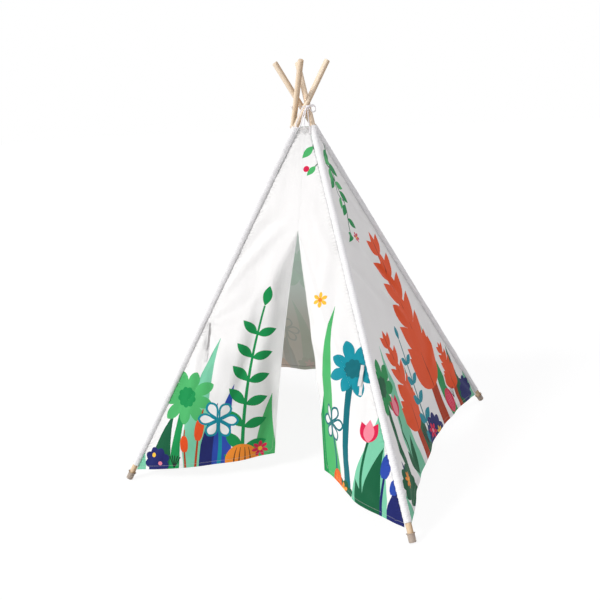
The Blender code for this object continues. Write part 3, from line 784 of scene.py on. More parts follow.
class Side:
    """One side of the cover, between the pole on its left and the one on its right, from outside."""

    def __init__(self, name, left, right):
        self.name = name
        self.left, self.right = left, right
        middle = (left.at(HEM_CORNER) + right.at(HEM_CORNER)) / 2
        across = right.at(HEM_CORNER) - left.at(HEM_CORNER)
        self.normal = across.cross(middle - Vector((0, 0, left.tie.z))).normalized()
        if self.normal.dot(middle) < 0:
            self.normal.negate()
        self.seed = sum(map(ord, name)) % 17
        half_base = (left.at(SLOPE) - right.at(SLOPE)).length / 2
        self.height = math.sqrt(SLOPE**2 - half_base**2)
        self.pulls = []
        for sign, pole in ((-1, left), (1, right)):
            levels = [HEM_CORNER]
            if name == "front":
                levels.append(SLOPE - TAPE_RISES[pole.name])
            for level in levels:
                v = self.v_at(level)
                self.pulls.append((sign * self.edge(v), v))

    def level(self, v):
        return SLOPE * (1 - v / self.height)

    def v_at(self, level):
        return self.height * (1 - level / SLOPE)

    def chord(self, v):
        level = self.level(v)
        return self.right.at(level) - self.left.at(level)

    def edge(self, v):
        """How far from the middle the cloth meets its sleeve."""
        chord = self.chord(v)
        inset = (SLEEVE_RADIUS + SLEEVE_GAP) / math.sin(chord.angle(self.left.axis))
        return chord.length / 2 - inset

    def corner_across(self, sign):
        """The share of the way across at which the hem meets the sleeve on one side."""
        v = self.v_at(HEM_CORNER)
        return 0.5 + sign * self.edge(v) / self.chord(v).length

    def hem_point(self, across):
        """The hem at a share of the way across, as (u, v)."""
        level = HEM_CORNER - HEM_ARCH * (1 - (2 * across - 1) ** 2)
        v = self.v_at(level)
        return (across - 0.5) * self.chord(v).length, v

    def flat_point(self, u, v):
        level = self.level(v)
        start, chord = self.left.at(level), self.chord(v)
        return start + chord * (0.5 + u / chord.length)

    def slack(self, u, v):
        """How far in the cloth hangs from the straight line between its poles."""
        level = self.level(v)
        across = 0.5 + u / self.chord(v).length
        middle = 1 - (2 * across - 1) ** 2
        lower = max(0, level / HEM_CORNER) ** SLACK_POWER
        fold = FOLD_DEPTH * math.cos(math.tau * FOLD_COUNT * (across - 0.5)) * lower
        return (SLACK + fold) * lower * middle

    def drawn_folds(self, u, v):
        """The folds that the cloth's own weight and its ties draw, along slightly bent lines."""
        height = 0
        for (start_u, start_v), (end_u, end_v), width, rise in FOLDS[self.name]:
            du, dv = end_u - start_u, end_v - start_v
            length = math.hypot(du, dv)
            along = ((u - start_u) * du + (v - start_v) * dv) / length**2
            across = ((u - start_u) * dv - (v - start_v) * du) / length
            across += FOLD_BEND * width * math.sin(math.pi * along)
            height += rise * math.exp(-((across / width) ** 2) - (2 * abs(along - 0.5) / FOLD_LENGTH) ** 4)
        return height

    def ripple(self, u, v):
        """Small folds: puckers from the sleeves, waves near the hem, pulls and a broad unevenness."""
        off_edge = max(0, self.edge(v) - abs(u))
        free = freed(off_edge) * min(1, self.edge(v) / NARROW_HALF)
        pucker = PUCKER * math.exp(-off_edge / PUCKER_REACH) * (1 - math.exp(-off_edge / PUCKER_START))
        drift = PUCKER_DRIFT * noise.noise((v * PUCKER_DRIFT_RATE, self.seed, 0))
        pucker *= math.sin(v * PUCKER_RATE + drift + abs(u) * PUCKER_SLANT)
        broad = BROAD_FOLD * free * noise.noise((u * BROAD_RATES[0], v * BROAD_RATES[1], self.seed))
        small = SMALL_FOLD * free * noise.noise((u * SMALL_RATES[0], v * SMALL_RATES[1], self.seed + 5))
        wave = HEM_WAVE * free * math.exp(-max(0, v - HEM_WAVE_START) / HEM_WAVE_REACH)
        drift = HEM_WAVE_DRIFT * noise.noise((u * HEM_WAVE_DRIFT_RATE, self.seed, 3))
        wave *= math.sin(u * HEM_WAVE_RATE + drift)
        pull = 0
        drift = PULL_DRIFT * noise.noise((u * PULL_DRIFT_RATE, v * PULL_DRIFT_RATE, 9))
        for place_u, place_v in self.pulls:
            reach = math.hypot(u - place_u, v - place_v)
            turn = math.atan2(v - place_v, u - place_u)
            swell = reach / PULL_REACH * math.exp(1 - reach / PULL_REACH)
            pull += PULL_FOLD * free * swell * math.sin(PULL_COUNT * turn + drift)
        return pucker + broad + small + wave + pull + free * self.drawn_folds(u, v)

    def point(self, u, v):
        return self.flat_point(u, v) + self.normal * (self.ripple(u, v) - self.slack(u, v))


class DoorSide:
    """One side of the door: its crease, and the cloth on both sides of it."""

    def __init__(self, side, pole):
        self.side = side
        self.sign = 1 if pole is side.right else -1
        self.pole = pole
        self.apex_v = side.v_at(SLOPE - SLIT_TOP_RISE)
        self.apex_u = (SLIT_TOP_ACROSS - 0.5) * side.chord(self.apex_v).length
        self.slit_v = side.v_at(SLOPE - SLIT_FOOT_RISE)
        self.slit_u = (SLIT_FOOT_ACROSS[pole.name] - 0.5) * side.chord(self.slit_v).length
        corner_v = side.v_at(HEM_CORNER)
        length = side.chord(corner_v).length
        self.crease_across = 0.5 + self.sign * (side.edge(corner_v) - CREASE_INSET) / length
        self.crease_u, self.crease_v = side.hem_point(self.crease_across)
        joint = JOINTS[f"door_{pole.flank}"]
        self.body = joint["child"]
        self.axis = Vector(joint["axis"])
        self.hinge = Vector(joint["pos_m"])
        self.top = side.flat_point(self.apex_u, self.apex_v)
        self.foot = side.flat_point(self.crease_u, self.crease_v)

    def crease_at(self, v):
        """The crease's u at a height, and how far down it that is."""
        down = min(CREASE_END, max(0, (self.apex_v - v) / (self.apex_v - self.crease_v)))
        return self.apex_u + (self.crease_u - self.apex_u) * down, down

    def straightening(self, v):
        """What brings the crease from the side's slightly twisted face to a straight line."""
        u, down = self.crease_at(v)
        return self.top.lerp(self.foot, down) - self.side.flat_point(u, v)

    def fixed_point(self, u, v):
        side = self.side
        crease_u, down = self.crease_at(v)
        edge = self.sign * side.edge(v)
        point = side.flat_point(u, v)
        calm = 1
        if down > 0:
            share = (edge - u) / (edge - crease_u)
            point += self.straightening(v) * share
            calm = freed(abs(u - crease_u))
        return point + side.normal * side.ripple(u, v) * calm

    def flap_shares(self, u, v):
        """How far a place is from the crease to the slit, and how far down the flap it is."""
        du, dv = u - self.apex_u, v - self.apex_v
        crease_u, crease_v = self.crease_u - self.apex_u, self.crease_v - self.apex_v
        hem_u, hem_v = self.slit_u - self.crease_u, self.slit_v - self.crease_v
        twice = crease_u * hem_v - crease_v * hem_u
        down = min(FLAP_END, max(0, (du * hem_v - dv * hem_u) / twice))
        along = (crease_u * dv - crease_v * du) / twice
        width = down - SLIT_BOW / math.hypot(hem_u, hem_v) * math.sin(math.pi * down)
        share = along / width if width > MERGE else 0
        return min(1, max(0, share)), down

    def slit_line(self):
        """The slit edge from the tip down to its foot, which bows towards the crease."""
        cu, cv = self.crease_u - self.apex_u, self.crease_v - self.apex_v
        length = math.hypot(cu, cv)
        count = round(length / EDGE_STEP)
        line = []
        for k in range(count):
            share = k / count
            bow = SLIT_BOW * math.sin(math.pi * share) * self.sign
            u = self.apex_u + (self.slit_u - self.apex_u) * share - cv / length * bow
            v = self.apex_v + (self.slit_v - self.apex_v) * share + cu / length * bow
            line.append((u, v))
        return line

    def flap_point(self, u, v):
        side = self.side
        share, down = self.flap_shares(u, v)
        billow = FLAP_BILLOW * math.sin(math.pi * share) * down
        beat = FLAP_FOLD_RATES[0] * share + FLAP_FOLD_RATES[1] * down + self.sign
        fold = FLAP_FOLD * share * down**1.5 * math.sin(beat)
        soft = noise.noise((u * FLAP_SOFT_RATES[0], v * FLAP_SOFT_RATES[1], self.sign + 8))
        fold += FLAP_SOFTNESS * share * down * soft
        calm = freed(abs(u - self.crease_at(v)[0]))
        lift = billow + (fold + side.ripple(u, v)) * calm
        point = side.flat_point(u, v) + self.straightening(v) + side.normal * lift
        bend = 1 - (1 - share) ** 2
        swing = Matrix.Rotation(FLAP_HANG[self.pole.name] * bend, 3, self.axis)
        return swing @ (point - self.hinge) + self.hinge


# Print motifs: each gives (ink, outline) pairs, in u and v. Bare numbers in them are shares of
# a motif's own size, angles in radians, and counts


def turned(outline, angle, place):
    """An outline drawn along +v, turned clockwise by an angle and moved to a place."""
    c, s = math.cos(angle), math.sin(angle)
    return [(place[0] + x * c + y * s, place[1] - x * s + y * c) for x, y in outline]


def leaf_outline(length, width, fullness):
    """A pointed leaf that stands on its stalk. Fullness is how far along it is widest."""
    low, high = LEAF_ROUNDNESS * fullness, LEAF_ROUNDNESS * (1 - fullness)
    rim = []
    for step in range(LEAF_STEPS + 1):
        share = (1 - math.cos(math.pi * step / LEAF_STEPS)) / 2
        spread = (share / fullness) ** low * ((1 - share) / (1 - fullness)) ** high
        rim.append((width / 2 * spread, length * share))
    return rim + [(-x, y) for x, y in rim[-2:0:-1]]


def leaf(place, angle, length, width, ink, fullness=0.5):
    return [(ink, turned(leaf_outline(length, width, fullness), angle, place))]


def open_petal(place, angle, length, width, ink):
    """A petal drawn as a broad line round bare cloth."""
    line = width * OPEN_LINE_SHARE
    shapes = leaf(place, angle, length, width, ink, 0.66)
    start = (place[0] + 1.6 * line * math.sin(angle), place[1] + 1.6 * line * math.cos(angle))
    return shapes + leaf(start, angle, length - 2.7 * line, width - 2 * line, "canvas", 0.66)


def bowed_line(start, end, bow, points=12):
    """Points on a bowed line from start to end."""
    dx, dy = end[0] - start[0], end[1] - start[1]
    line = []
    for step in range(points + 1):
        share = step / points
        out = 4 * bow * share * (1 - share)
        line.append((start[0] + dx * share - dy * out, start[1] + dy * share + dx * out))
    return line


def strip(line, widths, ink):
    """A strip along a line, whose width goes through the given widths."""
    left, right = [], []
    last = len(line) - 1
    for index, (x, y) in enumerate(line):
        before, after = line[max(0, index - 1)], line[min(last, index + 1)]
        dx, dy = after[0] - before[0], after[1] - before[1]
        size = math.hypot(dx, dy)
        place = index / last * (len(widths) - 1)
        low = min(int(place), len(widths) - 2)
        half = (widths[low] + (widths[low + 1] - widths[low]) * (place - low)) / 2
        left.append((x - dy / size * half, y + dx / size * half))
        right.append((x + dy / size * half, y - dx / size * half))
    return [(ink, left + right[::-1])]


def dot(place, radius, ink, stretch=1.0, points=22):
    rim = []
    for k in range(points):
        turn = math.tau * k / points
        rim.append((radius * math.sin(turn), radius * stretch * math.cos(turn)))
    return [(ink, turned(rim, 0, place))]


def bush(place, radius, lobes, ink, depth=0.2):
    """A round shape with a scalloped rim."""
    rim = []
    for k in range(lobes * 8):
        turn = math.tau * k / (lobes * 8)
        reach = radius * (1 - depth * (1 - abs(math.sin(lobes * turn / 2))))
        rim.append((place[0] + reach * math.sin(turn), place[1] + reach * math.cos(turn)))
    return [(ink, rim)]


def blade(base, height, width, lean, ink):
    """A tall leaf that narrows to its tip."""
    line = bowed_line(base, (base[0] + lean, base[1] + height), 0.06)
    return strip(line, [width * share for share in BLADE_SHARES], ink)


def daisy(place, radius, petals, ink, core):
    shapes = []
    for k in range(petals):
        shapes += leaf(place, math.tau * k / petals, radius, radius * (0.16 + 1.9 / petals), ink, 0.62)
    return shapes + dot(place, radius * 0.26, core)


def open_flower(base, height, lean, radius, petals, ink):
    """A flower of open petals on a slim stem."""
    top = (base[0] + lean, base[1] + height)
    shapes = strip(bowed_line(base, top, -0.04), (radius * 0.22, radius * 0.14), ink)
    for k in range(petals):
        turn = math.tau * (k + 0.5) / petals
        shapes += open_petal(top, turn, radius, radius * 0.62, ink)
    return shapes + dot(top, radius * 0.13, ink)


def sunflower(base, height, lean, radius, petals, ink, stem):
    """A large flower head on a thick stem."""
    top = (base[0] + lean, base[1] + height)
    shapes = strip(bowed_line(base, top, 0.03), (radius * 0.40, radius * 0.26, radius * 0.20), stem)
    for k in range(petals):
        turn = math.tau * (k + 0.5) / petals
        reach = radius * (0.88 + 0.12 * (k % 2))
        shapes += leaf(top, turn, reach, radius * (0.10 + 2.6 / petals), ink, 0.64)
    return shapes + bush(top, radius * 0.34, 9, stem, 0.15)


def sprig(base, height, lean, pairs, size, ink, stem, breadth=0.5, taper=0.6):
    """A stem with pairs of leaves and one at its tip."""
    line = bowed_line(base, (base[0] + lean, base[1] + height), 0.04, 4 * pairs + 4)
    shapes = strip(line, (size * 0.16, size * 0.07), stem)
    heading = math.atan2(line[-1][0] - line[-2][0], line[-1][1] - line[-2][1])
    for k in range(pairs):
        reach = size * (1 - (1 - taper) * k / pairs)
        for turn in (-1, 1):
            shapes += leaf(line[3 + 4 * k], heading + turn * 1.0, reach, reach * breadth, ink)
    reach = size * taper * 1.1
    return shapes + leaf(line[-1], heading, reach, reach * breadth, ink)


def torch(base, height, lean, size, rows, ink, line_ink):
    """A flower spike: a thick stem with rows of pointed scales that overlap towards the tip."""
    line = bowed_line(base, (base[0] + lean, base[1] + height), -0.03, 4 * rows + 8)
    shapes = strip(line, (size * 0.30, size * 0.22, size * 0.12), line_ink)
    heading = math.atan2(lean, height)
    for k in range(rows, -1, -1):
        place = line[8 + 4 * k - 2] if k else line[8]
        reach = size * (1 - 0.55 * k / rows)
        for turn in (-0.62, 0.62):
            shapes += leaf(place, heading + turn, reach, reach * 0.46, ink, 0.46)
        shapes += leaf(place, heading, reach * 1.05, reach * 0.5, ink, 0.42)
        shapes += strip(
            bowed_line(place, (place[0] + lean / height * reach * 0.7, place[1] + reach * 0.7), 0),
            (size * 0.02, size * 0.035, size * 0.01),
            line_ink,
        )
    return shapes


def tulip(base, height, lean, size, ink, second, stem):
    """A cup of petals on a tall stem, with two long leaves."""
    top = (base[0] + lean, base[1] + height)
    shapes = strip(bowed_line(base, top, 0.05), (size * 0.16, size * 0.11), stem)
    shapes += leaf(base, 0.25, height * 0.62, size * 0.46, stem, 0.45)
    shapes += leaf(base, -0.32, height * 0.5, size * 0.42, stem, 0.45)
    heading = math.atan2(lean, height)
    for turn in (-0.42, 0.42):
        shapes += leaf(top, heading + turn, size * 0.95, size * 0.48, ink, 0.42)
    return shapes + leaf(top, heading, size, size * 0.5, second, 0.42)


def bulrush(base, height, lean, size, ink, stem):
    """A reed: a long rounded head on a stem that goes on past it."""
    line = bowed_line(base, (base[0] + lean, base[1] + height), 0.03, 16)
    shapes = strip(line, (size * 0.3, size * 0.15), stem)
    return shapes + strip(line[9:15], (size * 0.5, size, size, size, size * 0.5), ink)


def melon(base, height, width, ink, ribs):
    """A rounded fruit with fine ribs."""
    shapes = dot((base[0], base[1] + height / 2), width / 2, ink, height / width, 28)
    for share in (-0.55, -0.2, 0.2, 0.55):
        across = base[0] + share * width * 0.3
        rib = bowed_line((across, base[1] + height * 0.1), (across, base[1] + height * 0.9), -share * 0.16)
        shapes += strip(rib, [width * rib_share for rib_share in MELON_RIB_SHARES], ribs)
    return shapes


def vine(start, length, angle, leaves, size, ink, stem, phase):
    """A hanging stem with leaves on alternate sides."""
    line = []
    for k in range(leaves * 4 + 1):
        share = k / (leaves * 4)
        sway = size * 0.26 * math.sin(math.tau * share * 1.6 + phase)
        line.append((sway, -length * share))
    line = turned(line, angle, start)
    shapes = strip(line, (size * 0.11, size * 0.05), stem)
    for k in range(leaves):
        turn = math.pi + angle + (0.8 if k % 2 else -0.8)
        reach = size * (1 - 0.35 * k / leaves)
        shapes += leaf(line[4 * k + 2], turn, reach, reach * 0.5, ink, 0.45)
    return shapes


def strokes(place, count, length, ink):
    """A tuft of pen strokes."""
    shapes = []
    for k in range(count):
        turn = 0.9 * (k / (count - 1) - 0.5)
        end = (place[0] + length * math.sin(turn), place[1] + length * math.cos(turn))
        shapes += strip([place, end], (length * 0.05, length * 0.09), ink)
    return shapes


def print_shapes(side):
    """The outlines of a side's print, from the back ones to the front ones."""
    kinds = (
        blade, bulrush, bush, daisy, dot, melon, open_flower, sprig, strokes, sunflower, torch, tulip, vine
    )
    motifs = {kind.__name__: kind for kind in kinds}
    shapes = []
    for kind, *values in PRINTS[side]:
        shapes += motifs[kind](*values)
    return shapes


# Meshes and pieces


def flat_mapped_mesh(name, vertices, faces, flat, full_turn=0):
    """A mesh whose vertices have flat places, u and v. Round a tube, u starts again at a full turn."""
    mesh = bpy.data.meshes.new(name)
    mesh.from_pydata([tuple(v) for v in vertices], [], faces)
    layer = mesh.uv_layers.new(name="flat")
    for polygon in mesh.polygons:
        corners = [flat[mesh.loops[loop].vertex_index] for loop in polygon.loop_indices]
        us = [u for u, _ in corners]
        restarts = len(corners) == 4 and max(us) - min(us) > full_turn / 2 > 0
        for loop, (u, v) in zip(polygon.loop_indices, corners):
            layer.data[loop].uv = (u + full_turn if restarts and u < full_turn / 2 else u, v)
    return mesh


def face_outward(mesh):
    """Turns each face of a closed mesh to look outwards."""
    form = bmesh.new()
    form.from_mesh(mesh)
    bmesh.ops.recalc_face_normals(form, faces=form.faces)
    form.to_mesh(mesh)
    form.free()


def add_piece(mesh, material, body, node):
    """A piece that rides on a body, in place of a plain solid."""
    mesh.materials.append(material)
    piece = bpy.data.objects.new(mesh.name, mesh)
    bpy.context.scene.collection.objects.link(piece)
    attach(piece, body)
    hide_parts(node)
    return piece


# Cloth pieces


def edge_points(start, end):
    """Points from start up to, and without, end."""
    du, dv = end[0] - start[0], end[1] - start[1]
    count = max(1, round(math.hypot(du, dv) / EDGE_STEP))
    return [(start[0] + du * k / count, start[1] + dv * k / count) for k in range(count)]


def hem_line(side, first, last):
    """The hem from one share of the way across to another, without its last point."""
    count = max(2, round(abs(last - first) * HEM_STEPS))
    return [side.hem_point(first + (last - first) * k / count) for k in range(count)]


def sleeve_line(side, sign, low, high):
    """The cloth's edge beside a sleeve, from a lower v to a higher one."""
    count = max(2, round(abs(high - low) / EDGE_STEP))
    line = []
    for k in range(count):
        v = low + (high - low) * k / count
        line.append((sign * side.edge(v), v))
    return line


def inside(point, outline):
    """Whether a point is within an outline."""
    x, y = point
    within = False
    for (ax, ay), (bx, by) in zip(outline, outline[1:] + outline[:1]):
        if (ay > y) != (by > y) and x < ax + (bx - ax) * (y - ay) / (by - ay):
            within = not within
    return within


def counterclockwise(rim):
    """An outline in the order that the cutting needs."""
    twice = sum(ax * by - bx * ay for (ax, ay), (bx, by) in zip(rim, rim[1:] + rim[:1]))
    return rim if twice > 0 else rim[::-1]


def cut_cloth(outline, shapes):
    """Cuts flat cloth into triangles along its outline and its print."""
    low_u, high_u = min(u for u, _ in outline), max(u for u, _ in outline)
    low_v, high_v = min(v for _, v in outline), max(v for _, v in outline)
    outline = counterclockwise(outline)
    points, faces, colours = list(outline), [tuple(range(len(outline)))], ["canvas"]
    for colour, rim in shapes:
        us, vs = [u for u, _ in rim], [v for _, v in rim]
        if min(us) > high_u or max(us) < low_u or min(vs) > high_v or max(vs) < low_v:
            continue
        start = len(points)
        points += counterclockwise(rim)
        faces.append(tuple(range(start, len(points))))
        colours.append(colour)
    columns, rows = int((high_u - low_u) / GRID), int((high_v - low_v) / GRID)
    for row in range(rows + 1):
        for column in range(columns + 1):
            u = low_u + GRID * (column + 0.5 * (row % 2))
            v = low_v + GRID * row
            if inside((u, v), outline):
                points.append((u, v))
    result = delaunay_2d_cdt([Vector(p) for p in points], [], faces, 0, MERGE, True)
    flat, _, triangles, _, _, owners = result
    # A triangle's owners are the rims round it: 0 is the cloth's own, and the last one is on top
    kept, inks = [], []
    for triangle, rims in zip(triangles, owners):
        if 0 in rims:
            kept.append(triangle)
            inks.append(colours[max(rims)])
    used = sorted({index for triangle in kept for index in triangle})
    order = {old: new for new, old in enumerate(used)}
    kept = [tuple(order[index] for index in triangle) for triangle in kept]
    return [tuple(flat[index]) for index in used], kept, inks


def cut_size(outline):
    """The sides of the smallest rectangle that the flat piece is cut from."""
    sizes = []
    for degrees in range(0, 90, 3):
        box = turned(outline, math.radians(degrees), (0, 0))
        us, vs = [u for u, _ in box], [v for _, v in box]
        sizes.append((max(us) - min(us), max(vs) - min(vs)))
    return min(sizes, key=lambda size: size[0] * size[1])


def flat_area(flat, triangles):
    area = 0
    for a, b, c in triangles:
        (ax, ay), (bx, by), (cx, cy) = flat[a], flat[b], flat[c]
        area += abs((bx - ax) * (cy - ay) - (cx - ax) * (by - ay)) / 2
    return area


def edge_distance(point, line):
    """How far a flat point is from a line of points."""
    place = Vector(point)
    least = 1.0
    for start, end in zip(line, line[1:]):
        _, share = intersect_point_line(place, Vector(start), Vector(end))
        share = min(1, max(0, share))
        least = min(least, (Vector(start).lerp(Vector(end), share).to_2d() - place).length)
    return least


def laid_cloth(flat, point_at):
    """Where the flat points lie on the teepee, and which way the cloth faces there."""
    places, normals = [], []
    for u, v in flat:
        along = point_at(u + NORMAL_STEP, v) - point_at(u - NORMAL_STEP, v)
        up = point_at(u, v + NORMAL_STEP) - point_at(u, v - NORMAL_STEP)
        places.append(point_at(u, v))
        normals.append(along.cross(up).normalized())
    return places, normals


def cloth_mesh(name, flat, triangles, inks, point_at, side, hem):
    """A closed sheet: the printed outer face, the inner face with a faint print and painted shade, and the cut
    edge between them.
    """
    places, normals = laid_cloth(flat, point_at)
    count = len(flat)
    outer = [place + normal * THICKNESS / 2 for place, normal in zip(places, normals)]
    inner = [place - normal * THICKNESS / 2 for place, normal in zip(places, normals)]
    edges = {edge for t in triangles for edge in zip(t, t[1:] + t[:1])}
    faces = list(triangles) + [tuple(index + count for index in t[::-1]) for t in triangles]
    faces += [(b, a, a + count, b + count) for a, b in sorted(edges) if (b, a) not in edges]
    mesh = bpy.data.meshes.new(name)
    mesh.from_pydata(outer + inner, [], faces)
    mesh.uv_layers.new(name="flat")
    for key, kind, domain in (
        ("print", "FLOAT_COLOR", "CORNER"), ("inside", "FLOAT", "CORNER"), ("hem", "FLOAT", "POINT"),
        ("seam", "FLOAT", "POINT"),
    ):
        mesh.attributes.new(key, kind, domain)
    paint, within, reach, seam = (mesh.attributes[key].data for key in ("print", "inside", "hem", "seam"))
    layer = mesh.uv_layers["flat"].data
    for index, point in enumerate(flat):
        distance = edge_distance(point, hem)
        off_seam = side.edge(point[1]) - abs(point[0])
        for place in (index, index + count):
            reach[place].value = distance
            seam[place].value = off_seam
    canvas = Vector(linear(INKS["canvas"]))
    custom = []
    for polygon in mesh.polygons:
        group, triangle = divmod(polygon.index, len(triangles))
        outside, underside = group == 0, group == 1
        colour = canvas
        if outside or underside:
            colour = Vector(linear(INKS[inks[triangle]]))
        if underside:
            # Painted shade: the inner face is darkened by a tint
            colour = canvas.lerp(colour, GHOST_SHARE) * Vector(INNER_FACE_PAINTED_SHADE)
        for loop in polygon.loop_indices:
            vertex = mesh.loops[loop].vertex_index
            paint[loop].color = (*colour, 1)
            within[loop].value = float(underside)
            layer[loop].uv = flat[vertex % count]
            if outside:
                custom.append(normals[vertex])
            elif underside:
                custom.append(-normals[vertex - count])
            else:
                custom.append(polygon.normal.copy())
    mesh.shade_smooth()
    mesh.normals_split_custom_set(custom)
    return mesh


def draw_together(piece, side, pole):
    """Works out a point beside the sleeve, halfway down the pole, which nothing uses, and gives the piece a mesh
    of its own.
    """
    anchor = pole.at(HEM_CORNER / 2)
    inward = side.flat_point(0, side.v_at(HEM_CORNER / 2)) - anchor
    inward = (inward - pole.axis * inward.dot(pole.axis)).normalized()
    anchor += inward * (SLEEVE_RADIUS + SLEEVE_GAP)
    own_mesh(piece)


def cloth_piece(name, node, outline, shapes, point_at, pole, side, body, hem):
    """A sheet of cloth with its print, in place of its plain solid. Hem is its free edge."""
    flat, triangles, inks = cut_cloth(outline, shapes)
    mesh = cloth_mesh(name, flat, triangles, inks, point_at, side, hem)
    piece = add_piece(mesh, MATERIALS["canvas"], body, node)
    area = flat_area(flat, triangles)
    cut_size(outline)
    draw_together(piece, side, pole)


def panel_rim(side, sign, hem_start, inner_edge):
    """A fixed panel's rim and its free hem: out along the hem, up the sleeve and down its inner edge."""
    corner = side.corner_across(sign)
    top_v = side.v_at(COVER_TOP)
    hem = hem_line(side, hem_start, corner)
    foot = side.hem_point(corner)
    rim = hem + sleeve_line(side, sign, foot[1], top_v)
    places = [(sign * side.edge(top_v), top_v), *inner_edge, hem[0]]
    for start, end in zip(places, places[1:]):
        rim += edge_points(start, end)
    return rim, hem + [(sign * side.edge(foot[1]), foot[1])]


def add_half_side(side, pole, node, shapes):
    """Half of a side without a door."""
    sign = 1 if pole is side.right else -1
    top = (sign * SLEEVE_GAP / 2, side.v_at(COVER_TOP))
    rim, hem = panel_rim(side, sign, 0.5 + sign * SLEEVE_GAP / 2, [top])
    cloth_piece(node.replace("panel", "cover"), node, rim, shapes, side.point, pole, side, pole.body, hem)


def add_front_half(side, pole, shapes):
    """The fixed cloth and the flap on one side of the door."""
    door = DoorSide(side, pole)
    word = pole.flank
    top_v = side.v_at(COVER_TOP)
    half_gap = door.sign * SLEEVE_GAP / 2
    top = ((SLIT_TOP_ACROSS - 0.5) * side.chord(top_v).length + half_gap, top_v)
    rim, hem = panel_rim(side, door.sign, door.crease_across, [top, (door.apex_u + half_gap, door.apex_v)])
    cloth_piece(
        f"cover_front_{word}", f"panel_front_{word}", rim, shapes, door.fixed_point, pole, side,
        pole.body, hem,
    )
    slit_foot, crease_foot, tip = (door.slit_u, door.slit_v), hem[0], (door.apex_u, door.apex_v)
    rim = edge_points(slit_foot, crease_foot) + edge_points(crease_foot, tip) + door.slit_line()
    cloth_piece(
        f"door_cloth_{word}", f"door_flap_{word}", rim, shapes, door.flap_point, pole, side, door.body,
        [crease_foot, slit_foot, tip],
    )
    return door


# Tubes


def smooth_route(route, spacing):
    """Points on a smooth curve through a route."""
    route = [Vector(place) for place in route]
    ends = [route[0] * 2 - route[1], *route, route[-1] * 2 - route[-2]]
    points = [route[0]]
    for before, start, end, after in zip(ends, ends[1:], ends[2:], ends[3:]):
        pieces = max(1, round((end - start).length / spacing))
        for piece in range(1, pieces + 1):
            t = piece / pieces
            bend = (end - before) * t
            bend += (before * 2 - start * 5 + end * 4 - after) * t**2
            bend += (start * 3 - before - end * 3 + after) * t**3
            points.append(start + bend / 2)
    return points


def tube(name, points, radius, sides=CORD_SIDES, closed=False):
    """A round cord along points, with rounded ends. Its u is a share of a turn, and its v runs along."""
    path = [Vector(p) for p in points]
    count = len(path)
    heading = []
    for index in range(count):
        if closed:
            step = path[(index + 1) % count] - path[index - 1]
        else:
            step = path[min(count - 1, index + 1)] - path[max(0, index - 1)]
        heading.append(step.normalized())
    out = heading[0].orthogonal().normalized()
    rings = []
    travelled = 0
    for index, (place, ahead) in enumerate(zip(path, heading)):
        out = (out - ahead * out.dot(ahead)).normalized()
        if index:
            travelled += (place - path[index - 1]).length
        rings.append((place, out, ahead.cross(out), radius, travelled))
    if not closed:
        for end, turn in ((0, -1), (-1, 1)):
            place, out, across, _, along = rings[end]
            caps = []
            for share in CORD_END_SHARES:
                reach = radius * CORD_END_ROUNDNESS * share
                tip = place + heading[end] * turn * reach
                caps.append((tip, out, across, radius * math.sqrt(1 - share**2), along + turn * reach))
            rings = caps[::-1] + rings if end == 0 else rings + caps
    vertices, flat, faces = [], [], []
    for place, out, across, reach, along in rings:
        for side in range(sides):
            turn = math.tau * side / sides
            vertices.append(place + (out * math.cos(turn) + across * math.sin(turn)) * reach)
            flat.append((side / sides, along))
    for ring in range(len(rings) if closed else len(rings) - 1):
        this, following = ring * sides, (ring + 1) % len(rings) * sides
        for side in range(sides):
            other = (side + 1) % sides
            faces.append((this + side, this + other, following + other, following + side))
    if not closed:
        faces.append(tuple(range(sides - 1, -1, -1)))
        faces.append(tuple(range(len(vertices) - sides, len(vertices))))
    mesh = flat_mapped_mesh(name, vertices, faces, flat, 1)
    mesh.shade_smooth()
    return mesh


# Sleeves and tapes


def seam_bump(level, turn):
    """The little swells of a sleeve between the stitches of its two seams."""
    swell = 0
    for sign in (-1, 1):
        off = math.remainder(turn - sign * SEAM_TURN, math.tau) / SEAM_SPREAD
        drift = SEAM_DRIFT * noise.noise((level * SEAM_DRIFT_RATE, sign, 4))
        beat = level * math.tau / SEAM_PITCH + drift
        swell += SEAM_BUMP * math.exp(-(off**2)) * (0.5 + 0.5 * math.sin(beat))
    return swell


def sleeve_reach(pole, level, turn):
    """How far a sleeve's outer face is from its pole's line: gathered in front, and soft all round."""
    facing = SLEEVE_GATHER_BEHIND + (1 - SLEEVE_GATHER_BEHIND) * max(0, math.cos(turn))
    bend = SLEEVE_GATHER_BEND * math.sin(turn * 2)
    gather = math.sin(level * math.tau / SLEEVE_GATHER_PITCH + bend)
    shift = pole.tie.x * SLEEVE_SOFT_SHIFT
    soft = SLEEVE_SOFTNESS * noise.noise((level * SLEEVE_SOFT_RATE, math.cos(turn), shift))
    return SLEEVE_RADIUS - SLEEVE_GATHER + SLEEVE_GATHER * gather * facing + soft + seam_bump(level, turn)


